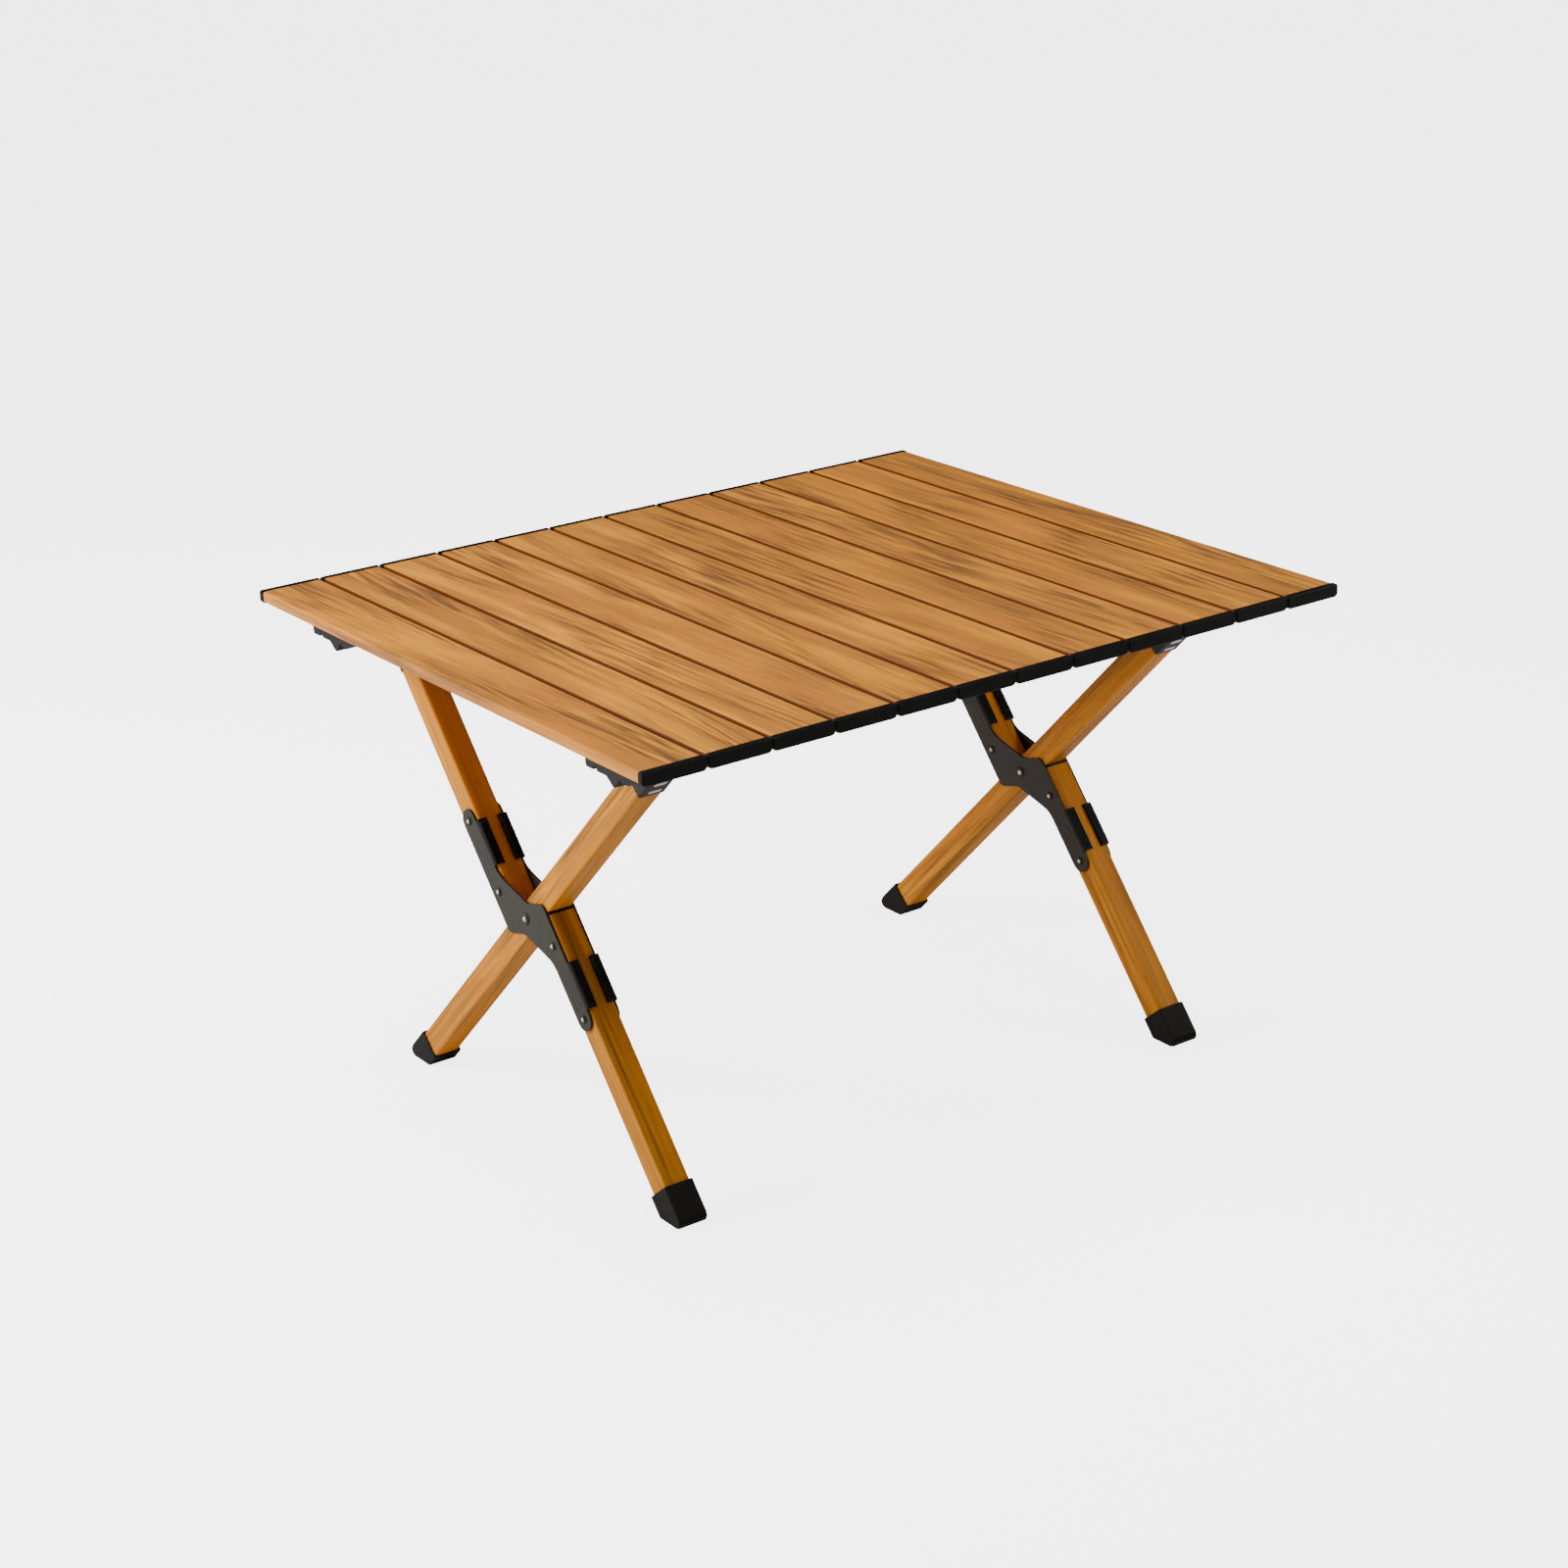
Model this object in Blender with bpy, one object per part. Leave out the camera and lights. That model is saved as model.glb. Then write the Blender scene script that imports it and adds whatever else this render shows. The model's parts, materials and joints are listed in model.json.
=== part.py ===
"""Roll-top camping table: a slatted top on two folding X trestles, held apart by two folding side rails.

Metres, +Z up. The origin is on the floor under the middle of the top. X runs across the slats, Y along
them. Each trestle stands in a plane of constant X and holds one long leg, from its top at -Y to its foot at
+Y, and two half legs in line with each other's far sides, joined by a pair of plates that the long leg
turns between. "out" is away from the table's middle, "in" is towards it.
"""

from math import acos, asin, atan2, cos, hypot, pi, radians, sin, tan

import bmesh
import bpy
from mathutils import Matrix, Vector

# Top
TABLE_HEIGHT = 0.440
SLAT_COUNT = 12
SLAT_WIDTH = 0.057
SLAT_GAP = 0.003
SLAT_LENGTH = 0.588
SLAT_THICKNESS = 0.010
SLAT_WALL = 0.0012
SLAT_CELLS = 3
SLAT_EDGE_RADIUS = 0.002

# Slat end caps
CAP_LIP = 0.006
CAP_GAP = 0.001
CAP_PROUD_ABOVE = 0.0005
CAP_PROUD_BELOW = 0.0010
CAP_TOP_RADIUS = 0.0020
CAP_BOTTOM_RADIUS = 0.0035
CAP_CHAMFER = 0.0010
CAP_TONGUE = 0.014

# Clearances
TOUCH_GAP = 0.0003
RUNNING_GAP = 0.0006
BUTT_GAP = 0.0005

# Legs, all of one square tube. The top reaches past the trestles and past the leg pins by the overhangs
LEG_SIZE = 0.0245
LEG_WALL = 0.0014
LEG_EDGE_RADIUS = 0.0020
TRESTLE_OVERHANG = 0.0875
LEG_PIN_OVERHANG = 0.110
LEG_PIN_DROP = 0.033
CROSSING_HEIGHT = 0.2067
LEG_PAST_PIN = 0.012

# Pins and rivets
PIN_RADIUS = 0.003
PIN_HEAD_RADIUS = 0.005
PIN_HEAD_HEIGHT = 0.0015
HEAD_CROWN = 0.75
RIVET_RADIUS = 0.0020
RIVET_HEAD_RADIUS = 0.0034
RIVET_HEAD_HEIGHT = 0.0012

# How round shapes are faceted: sides of a pin, steps of a corner, and the least angle of a sharp edge
ROUND_SIDES = 12
LARGE_CORNER_STEPS = 4
SMALL_CORNER_STEPS = 3
TUBE_CORNER_STEPS = 2
SHARP_ANGLE = radians(36)

# Joint plates, measured along and across the half legs from the crossing
PLATE_THICKNESS = 0.0020
PLATE_ARM_WIDTH = 0.021
PLATE_SHOULDER_AT = 0.001
PLATE_WAIST_ALONG = 0.009
PLATE_WAIST_ACROSS = 0.0125
PLATE_ARM_ROOT_AT = 0.047
PLATE_SHOULDER_RADIUS = 0.007
PLATE_WAIST_RADIUS = 0.010
PLATE_ROOT_RADIUS = 0.025
MID_RIVET_AT = 0.0353
END_RIVET_AT = 0.1024
TAB_AT = 0.0555
TAB_LENGTH = 0.042
TAB_DEPTH = 0.0068
TAB_THICKNESS = 0.0015

# Feet
BOOT_WALL = 0.0017
BOOT_RISE = 0.031
BOOT_SOLE = 0.003
BOOT_TOE_RADIUS = 0.006
BOOT_HEEL_RADIUS = 0.002
BOOT_EDGE = 0.0015

# Corner brackets, bent from sheet
SHEET = 0.0025
WEB_LENGTH = 0.048
EAR_TOP_LENGTH = 0.040
EAR_RADIUS = 0.014
RAIL_PIN_REACH = 0.0425
ARM_REACH = 0.060
ARM_WIDTH = 0.036
REST_WIDTH = 0.012
REST_LENGTH = 0.0685
REST_DEPTH = 0.0150
REST_NOTCH_DEPTH = 0.0120
REST_SPIKE_DEPTH = 0.0215
REST_TAIL_DEPTH = 0.0098
REST_OFFSET = 0.0252
REST_SHIFT = 0.0176

# Side rails and their middle links
RAIL_SIZE = 0.020
RAIL_WALL = 0.0014
RAIL_END_RADIUS = 0.010
RAIL_PIN_RADIUS = 0.0025
LINK_PIN_SPACING = 0.034
LINK_SHEET = 0.002

# Places that follow
SLAT_PITCH = SLAT_WIDTH + SLAT_GAP
SLAT_UNDERSIDE = TABLE_HEIGHT - SLAT_THICKNESS
FRAME_TOP = SLAT_UNDERSIDE - TOUCH_GAP
LEG_PIN_SPACING = SLAT_LENGTH + 2 * (CAP_LIP - LEG_PIN_OVERHANG)
LEG_PIN_HEIGHT = FRAME_TOP - LEG_PIN_DROP
LEG_PIN_RISE = LEG_PIN_HEIGHT - CROSSING_HEIGHT
LEG_REACH = hypot(LEG_PIN_SPACING / 2, LEG_PIN_RISE)
LEG_STEP = LEG_SIZE + TOUCH_GAP
LONG_LEG_SLOPE = atan2(LEG_PIN_RISE, -LEG_PIN_SPACING / 2)
HALF_LEG_SLOPE = atan2(LEG_PIN_RISE, LEG_PIN_SPACING / 2) + asin(LEG_STEP / LEG_REACH)
HALF_LEG_PIN_AT = LEG_REACH * cos(asin(LEG_STEP / LEG_REACH))
PLATE_INSIDE = LEG_SIZE / 2 + TOUCH_GAP
PLATE_OUTSIDE = PLATE_INSIDE + PLATE_THICKNESS
EAR_INSIDE = LEG_SIZE / 2 + RUNNING_GAP
EAR_OUTSIDE = EAR_INSIDE + SHEET
RAIL_CHEEK_INSIDE = RAIL_SIZE / 2 + RUNNING_GAP
RAIL_PIN_HEIGHT = FRAME_TOP - RAIL_SIZE / 2
TRESTLE_X = SLAT_COUNT * SLAT_PITCH / 2 - TRESTLE_OVERHANG
RAIL_PIN_X = TRESTLE_X - RAIL_PIN_REACH
RAIL_Y = LEG_PIN_SPACING / 2

# Half of the short flat that stays in the middle of a rounded end
END_FLAT = 0.0004

SIDES = {"left": -1, "right": 1}
ENDS = {"back": 1, "front": -1}


def clear_scene():
    for item in list(bpy.data.objects):
        bpy.data.objects.remove(item)


def finish(name, color, roughness, metallic=0.0):
    material = bpy.data.materials.new(name)
    material.use_nodes = True
    shader = material.node_tree.nodes["Principled BSDF"]
    shader.inputs["Base Color"].default_value = (*color, 1.0)
    shader.inputs["Roughness"].default_value = roughness
    shader.inputs["Metallic"].default_value = metallic
    return material


# Outlines

def rounded(corners, steps=SMALL_CORNER_STEPS):
    """A closed outline of (u, v, radius) corners, each turned into an arc that its two sides touch."""
    outline = []
    for index, (u, v, radius) in enumerate(corners):
        here = Vector((u, v))
        before = (Vector(corners[index - 1][:2]) - here).normalized()
        after = (Vector(corners[(index + 1) % len(corners)][:2]) - here).normalized()
        if radius <= 0:
            outline.append(here)
            continue
        opening = acos(max(-1.0, min(1.0, before.dot(after))))
        centre = here + (before + after).normalized() * radius / sin(opening / 2)
        first = here + before * radius / tan(opening / 2) - centre
        turn = pi - opening
        way = 1 if before.cross(after) < 0 else -1
        for step in range(steps + 1):
            outline.append(centre + Matrix.Rotation(way * turn * step / steps, 2) @ first)
    return outline


def rectangle(low_u, high_u, low_v, high_v, radius=0.0):
    corners = ((low_u, low_v), (high_u, low_v), (high_u, high_v), (low_u, high_v))
    return [(u, v, radius) for u, v in corners]


# Solids

def mesh_of(shape):
    bmesh.ops.recalc_face_normals(shape, faces=shape.faces)
    mesh = bpy.data.meshes.new("solid")
    shape.to_mesh(mesh)
    shape.free()
    return mesh


def prism(outline, axis, low, high):
    """The outline, in the plane across the named axis, drawn out along it from low to high."""
    spread = {
        "X": lambda u, v, along: (along, u, v),
        "Y": lambda u, v, along: (u, along, v),
        "Z": lambda u, v, along: (u, v, along),
    }[axis]
    shape = bmesh.new()
    rings = [[shape.verts.new(spread(u, v, along)) for u, v in outline] for along in (low, high)]
    for ring in rings:
        shape.faces.new(ring)
    for index in range(len(outline)):
        shape.faces.new((rings[0][index - 1], rings[0][index], rings[1][index], rings[1][index - 1]))
    return mesh_of(shape)


def box(low, high):
    return prism(rounded(rectangle(low[0], high[0], low[1], high[1])), "Z", low[2], high[2])


def turned(profile, axis, centre, sides=ROUND_SIDES):
    """A solid of revolution about an axis through centre: profile holds (along, radius) from end to end."""
    turn = {"X": Matrix.Rotation(pi / 2, 4, "Y"), "Y": Matrix.Rotation(-pi / 2, 4, "X"), "Z": Matrix()}[axis]
    place = Matrix.Translation(centre) @ turn
    angles = [2 * pi * (step + 0.5) / sides for step in range(sides)]
    shape = bmesh.new()
    rings = []
    for along, radius in profile:
        points = [place @ Vector((radius * cos(angle), radius * sin(angle), along)) for angle in angles]
        rings.append([shape.verts.new(point) for point in points])
    for first, second in zip(rings, rings[1:]):
        for index in range(sides):
            shape.faces.new((first[index - 1], first[index], second[index], second[index - 1]))
    shape.faces.new(rings[0])
    shape.faces.new(rings[-1])
    return mesh_of(shape)


def rod(axis, centre, low, high, radius, sides=ROUND_SIDES):
    return turned(((low, radius), (high, radius)), axis, centre, sides)


def headed_pin(axis, centre, grip):
    """A pin with a low head at each end, its heads lying on faces that stand grip either side of centre."""
    tip = grip + PIN_HEAD_HEIGHT
    profile = (
        (-tip, PIN_HEAD_RADIUS * HEAD_CROWN), (-grip - PIN_HEAD_HEIGHT / 2, PIN_HEAD_RADIUS),
        (-grip + SHEET / 4, PIN_HEAD_RADIUS), (-grip + SHEET / 4, PIN_RADIUS),
        (grip - SHEET / 4, PIN_RADIUS), (grip - SHEET / 4, PIN_HEAD_RADIUS),
        (grip + PIN_HEAD_HEIGHT / 2, PIN_HEAD_RADIUS), (tip, PIN_HEAD_RADIUS * HEAD_CROWN),
    )
    return turned(profile, axis, centre)


def moved(mesh, matrix):
    mesh.transform(matrix)
    return mesh


def carved(base, joined=(), cut=()):
    """One mesh: the base with the joined meshes added to it, and then the cut meshes taken away."""
    target = bpy.data.objects.new("carved", base)
    bpy.context.collection.objects.link(target)
    helpers = [target]
    for operation, meshes in (("UNION", joined), ("DIFFERENCE", cut)):
        for mesh in meshes:
            helper = bpy.data.objects.new("helper", mesh)
            bpy.context.collection.objects.link(helper)
            helper.hide_render = True
            helper.display_type = "WIRE"
            modifier = target.modifiers.new(operation.title(), "BOOLEAN")
            modifier.operation = operation
            modifier.object = helper
            helpers.append(helper)
    bpy.context.view_layer.update()
    depsgraph = bpy.context.evaluated_depsgraph_get()
    result = bpy.data.meshes.new_from_object(target.evaluated_get(depsgraph))
    for helper in helpers:
        bpy.data.objects.remove(helper)
    return result


def chamfered(mesh, width, chosen):
    """The mesh with a flat chamfer on every edge that chosen accepts."""
    shape = bmesh.new()
    shape.from_mesh(mesh)
    edges = [edge for edge in shape.edges if chosen(edge)]
    bmesh.ops.bevel(shape, geom=edges, offset=width, segments=1, affect="EDGES", clamp_overlap=True)
    return mesh_of(shape)


# Placing

def joint(name, position, parent=None):
    """An empty on a joint's axis. Turning it moves all that hangs on it."""
    empty = bpy.data.objects.new(name, None)
    bpy.context.collection.objects.link(empty)
    empty.empty_display_size = 0.03
    return hang(empty, Vector(position), parent)


def hang(item, position, parent):
    item["place"] = tuple(position)
    if parent is None:
        item.location = position
    else:
        item.parent = parent
        item.location = position - Vector(parent["place"])
    return item


def piece(name, mesh, material, position, parent):
    """The named object of a mesh whose own origin stands at position, carried by a joint's empty."""
    item = bpy.data.objects.new(name, mesh)
    bpy.context.collection.objects.link(item)
    if not mesh.materials:
        mesh.materials.append(material)
    mesh.shade_smooth()
    mesh.set_sharp_from_angle(angle=SHARP_ANGLE)
    return hang(item, Vector(position), parent)


# Top

def slat_mesh():
    """A flat tube of several cells. Its origin is over the middle of its underside."""
    half_width, half_length = SLAT_WIDTH / 2, SLAT_LENGTH / 2
    skin = rounded(rectangle(-half_width, half_width, 0, SLAT_THICKNESS, SLAT_EDGE_RADIUS))
    past_end = half_length + CAP_LIP
    cells = [
        box((low, -past_end, SLAT_WALL), (high, past_end, SLAT_THICKNESS - SLAT_WALL))
        for low, high in slat_cells()
    ]
    return carved(prism(skin, "Y", -half_length, half_length), cut=cells)


def slat_cells():
    """The low and high X of each cell inside a slat."""
    cell = (SLAT_WIDTH - SLAT_WALL * (SLAT_CELLS + 1)) / SLAT_CELLS
    starts = [-SLAT_WIDTH / 2 + SLAT_WALL + index * (cell + SLAT_WALL) for index in range(SLAT_CELLS)]
    return [(start, start + cell) for start in starts]


def cap_mesh():
    """An end cap for the slat's +Y end, with a tongue in each outer cell. Its origin is the slat's."""
    half_width = (SLAT_PITCH - CAP_GAP) / 2
    inside = SLAT_LENGTH / 2 + TOUCH_GAP
    outside = SLAT_LENGTH / 2 + CAP_LIP
    face = rounded((
        (-half_width, -CAP_PROUD_BELOW, CAP_BOTTOM_RADIUS),
        (half_width, -CAP_PROUD_BELOW, CAP_BOTTOM_RADIUS),
        (half_width, SLAT_THICKNESS + CAP_PROUD_ABOVE, CAP_TOP_RADIUS),
        (-half_width, SLAT_THICKNESS + CAP_PROUD_ABOVE, CAP_TOP_RADIUS),
    ))
    lip = chamfered(
        prism(face, "Y", inside, outside), CAP_CHAMFER,
        lambda edge: all(abs(vertex.co.y - outside) < TOUCH_GAP / 2 for vertex in edge.verts),
    )
    cells = slat_cells()
    tongues = [
        box(
            (low + TOUCH_GAP, inside - CAP_TONGUE, SLAT_WALL + TOUCH_GAP),
            (high - TOUCH_GAP, inside + CAP_LIP / 2, SLAT_THICKNESS - SLAT_WALL - TOUCH_GAP),
        )
        for low, high in {cells[0], cells[-1]}
    ]
    return carved(lip, joined=tongues)


def slat_x(index):
    return (index - (SLAT_COUNT - 1) / 2) * SLAT_PITCH


def add_top(wood, black):
    """The slats hang on each other's edges, left and right of the one that the whole top is lifted by."""
    slat, cap = slat_mesh(), cap_mesh()
    other_cap = moved(cap.copy(), Matrix.Rotation(pi, 4, "Z"))
    middle = SLAT_COUNT // 2 - 1
    hinges = {middle: joint("top_lift", (slat_x(middle), 0, SLAT_UNDERSIDE))}
    order = list(range(middle + 1, SLAT_COUNT)) + list(range(middle - 1, -1, -1))
    for index in order:
        inner = index - 1 if index > middle else index + 1
        edge = (slat_x(index) + slat_x(inner)) / 2
        hinges[index] = joint(f"slat_{index + 1:02d}_roll", (edge, 0, SLAT_UNDERSIDE), hinges[inner])
    for index in range(SLAT_COUNT):
        place = (slat_x(index), 0, SLAT_UNDERSIDE)
        piece(f"slat_{index + 1:02d}", slat, wood, place, hinges[index])
        piece(f"slat_cap_back_{index + 1:02d}", cap, black, place, hinges[index])
        piece(f"slat_cap_front_{index + 1:02d}", other_cap, black, place, hinges[index])


# Trestles, drawn about the crossing

def leg_frame(slope):
    """From (X, across, along) on a leg to the trestle: along runs up the slope, across to its lower side."""
    return Matrix((
        (1, 0, 0, 0),
        (0, sin(slope), cos(slope), 0),
        (0, -cos(slope), sin(slope), 0),
        (0, 0, 0, 1),
    ))


def tube(across, low, high):
    """A square tube on a leg's own axes, its middle line offset by across."""
    half = LEG_SIZE / 2
    skin = rounded(rectangle(-half, half, across - half, across + half, LEG_EDGE_RADIUS), TUBE_CORNER_STEPS)
    bore = half - LEG_WALL
    hollow = rounded(rectangle(-bore, bore, across - bore, across + bore))
    return prism(skin, "Z", low, high), prism(hollow, "Z", low - LEG_WALL, high + LEG_WALL)


def cross_hole(across, along, radius):
    return rod("X", (0, across, along), -LEG_SIZE, LEG_SIZE, radius)


def floor_at(slope, across):
    """How far down a leg from the crossing its middle line meets the floor."""
    return (CROSSING_HEIGHT - across * cos(slope)) / sin(slope)


def tube_foot_at(slope, across):
    """Where the tube ends in its boot: its lowest corner stands a sole's thickness above the floor."""
    lift = (BOOT_SOLE + abs(cos(slope)) * LEG_SIZE / 2) / sin(slope)
    return floor_at(slope, across) - lift


def long_leg_mesh():
    skin, hollow = tube(0, -tube_foot_at(LONG_LEG_SLOPE, 0), LEG_REACH + LEG_PAST_PIN)
    holes = [cross_hole(0, along, PIN_RADIUS + TOUCH_GAP) for along in (0, LEG_REACH)]
    return moved(carved(skin, cut=[hollow, *holes]), leg_frame(LONG_LEG_SLOPE))


def half_leg_start():
    """How far from the crossing a half leg starts, so that its inner corner stops against the long leg."""
    between = LONG_LEG_SLOPE - HALF_LEG_SLOPE
    inner_side = LEG_STEP - LEG_SIZE / 2
    return (LEG_SIZE / 2 + BUTT_GAP - inner_side * cos(between)) / sin(between)


def upper_half_leg_mesh():
    skin, hollow = tube(LEG_STEP, half_leg_start(), HALF_LEG_PIN_AT + LEG_PAST_PIN)
    holes = [cross_hole(LEG_STEP, along, RIVET_RADIUS + TOUCH_GAP) for along in (MID_RIVET_AT, END_RIVET_AT)]
    holes.append(cross_hole(LEG_STEP, HALF_LEG_PIN_AT, PIN_RADIUS + TOUCH_GAP))
    return moved(carved(skin, cut=[hollow, *holes]), leg_frame(HALF_LEG_SLOPE))


def lower_half_leg_mesh():
    skin, hollow = tube(-LEG_STEP, -tube_foot_at(HALF_LEG_SLOPE, -LEG_STEP), -half_leg_start())
    holes = [
        cross_hole(-LEG_STEP, -along, RIVET_RADIUS + TOUCH_GAP)
        for along in (MID_RIVET_AT, END_RIVET_AT)
    ]
    return moved(carved(skin, cut=[hollow, *holes]), leg_frame(HALF_LEG_SLOPE))


def plate_outline():
    """One half of the S, from the lower arm's shoulder to its tip, and the same turned half way round."""
    half_arm = PLATE_ARM_WIDTH / 2
    half = [
        (LEG_STEP + half_arm, PLATE_SHOULDER_AT, PLATE_SHOULDER_RADIUS),
        (PLATE_WAIST_ACROSS, -PLATE_WAIST_ALONG, PLATE_WAIST_RADIUS),
        (-LEG_STEP + half_arm, -PLATE_ARM_ROOT_AT, PLATE_ROOT_RADIUS),
        (-LEG_STEP + half_arm, -END_RIVET_AT - half_arm, half_arm - END_FLAT),
        (-LEG_STEP - half_arm, -END_RIVET_AT - half_arm, half_arm - END_FLAT),
    ]
    turned_half = [(-across, -along, radius) for across, along, radius in half]
    return rounded(half + turned_half, LARGE_CORNER_STEPS)


def tab_mesh(side, face, upper):
    """A tab folded from the plate over a half leg's upper side. face is that side's place across the leg."""
    under, over = face - TOUCH_GAP, face - TOUCH_GAP - TAB_THICKNESS
    root = face + PLATE_ARM_WIDTH / 4
    tip = PLATE_INSIDE - TAB_DEPTH
    outline = [
        (side * PLATE_OUTSIDE, over), (side * tip, over), (side * tip, under),
        (side * PLATE_INSIDE, under), (side * PLATE_INSIDE, root), (side * PLATE_OUTSIDE, root),
    ]
    low, high = (TAB_AT, TAB_AT + TAB_LENGTH) if upper else (-TAB_AT - TAB_LENGTH, -TAB_AT)
    return prism(outline, "Z", low, high)


def rivet_mesh(side, across, along, shank, radius):
    """A rivet's head on a plate's outer face. With a shank, it runs on past the inner face by that length."""
    tip = PLATE_OUTSIDE + RIVET_HEAD_HEIGHT
    sunk = PLATE_INSIDE + PLATE_THICKNESS / 2
    head = RIVET_HEAD_RADIUS * radius / RIVET_RADIUS
    profile = [(tip, head * HEAD_CROWN), (PLATE_OUTSIDE + RIVET_HEAD_HEIGHT / 2, head), (sunk, head)]
    if shank:
        profile += [(sunk, radius), (PLATE_INSIDE - shank, radius)]
    return turned([(side * depth, size) for depth, size in profile], "X", (0, across, along))


def plate_mesh(side, shanks):
    """One joint plate on the +X (side 1) or -X (side -1) faces of the half legs."""
    thickness = sorted((side * PLATE_INSIDE, side * PLATE_OUTSIDE))
    sheet = prism(plate_outline(), "X", *thickness)
    half = LEG_SIZE / 2
    tabs = [tab_mesh(side, LEG_STEP - half, True), tab_mesh(side, -LEG_STEP - half, False)]
    shank = 2 * PLATE_INSIDE - TOUCH_GAP if shanks else 0
    places = [(way * LEG_STEP, way * along) for way in (1, -1) for along in (MID_RIVET_AT, END_RIVET_AT)]
    rivets = [rivet_mesh(side, across, along, shank, RIVET_RADIUS) for across, along in places]
    rivets.append(rivet_mesh(side, 0, 0, shank, PIN_RADIUS))
    return moved(carved(sheet, joined=tabs + rivets), leg_frame(HALF_LEG_SLOPE))


def boot_mesh(slope, across):
    """A moulded boot on a leg's lower end, cut flat on the floor, with its toe on the outer side."""
    down = Vector((-cos(slope), -sin(slope)))
    toe = Vector((sin(slope), -cos(slope)))
    if toe.x * down.x < 0:
        toe = -toe
    middle = Vector((sin(slope), -cos(slope))) * across + down * floor_at(slope, across)
    half = LEG_SIZE / 2 + BOOT_WALL
    top = middle - down * BOOT_RISE
    sides = [top + toe * half, top - toe * half]
    toe_top, heel_top = sides
    toe_floor, heel_floor = [point + down * (-CROSSING_HEIGHT - point.y) / down.y for point in sides]
    outline = rounded((
        (*toe_top, BOOT_EDGE / 2), (*toe_floor, BOOT_TOE_RADIUS),
        (*heel_floor, BOOT_HEEL_RADIUS), (*heel_top, BOOT_EDGE / 2),
    ))
    shell = prism(outline, "X", -half, half)
    shell = chamfered(shell, BOOT_EDGE, lambda edge: abs(edge.verts[0].co.x - edge.verts[1].co.x) < TOUCH_GAP)
    fit = LEG_SIZE / 2 + TOUCH_GAP
    socket = prism(
        rounded(rectangle(-fit, fit, across - fit, across + fit)), "Z",
        -tube_foot_at(slope, across) - TOUCH_GAP, -floor_at(slope, across) + 2 * BOOT_RISE,
    )
    return carved(shell, cut=[moved(socket, leg_frame(slope))])


def add_trestle(side, wood, steel, black, parents):
    """Legs, plates and boots of one trestle, on its plated-leg and long-leg joints."""
    way = SIDES[side]
    crossing = (way * TRESTLE_X, 0, CROSSING_HEIGHT)
    plated, long_leg = parents
    piece(f"long_leg_{side}", long_leg_mesh(), wood, crossing, long_leg)
    piece(f"long_leg_foot_{side}", boot_mesh(LONG_LEG_SLOPE, 0), black, crossing, long_leg)
    piece(f"upper_half_leg_{side}", upper_half_leg_mesh(), wood, crossing, plated)
    piece(f"lower_half_leg_{side}", lower_half_leg_mesh(), wood, crossing, plated)
    piece(f"half_leg_foot_{side}", boot_mesh(HALF_LEG_SLOPE, -LEG_STEP), black, crossing, plated)
    piece(f"joint_plate_out_{side}", plate_mesh(way, True), steel, crossing, plated)
    piece(f"joint_plate_in_{side}", plate_mesh(-way, False), steel, crossing, plated)


# Frame, each bracket drawn about its leg pin with +X as its way out

def slat_rest_outline(start):
    """The block under the outermost slat, from start on: its lower edge has two bumps, a spike and a tail."""
    lower_edge = (
        (0.00, REST_NOTCH_DEPTH), (0.02, REST_DEPTH), (0.16, REST_DEPTH), (0.18, REST_NOTCH_DEPTH),
        (0.21, REST_NOTCH_DEPTH), (0.24, REST_DEPTH), (0.42, REST_DEPTH), (0.55, REST_SPIKE_DEPTH),
        (0.59, REST_SPIKE_DEPTH), (0.69, REST_NOTCH_DEPTH), (0.74, REST_DEPTH), (0.86, REST_DEPTH),
        (1.00, REST_TAIL_DEPTH),
    )
    depths = [(0, 0), *lower_edge, (1, 0)]
    return [(start + share * REST_LENGTH, LEG_PIN_DROP - depth) for share, depth in depths]


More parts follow.
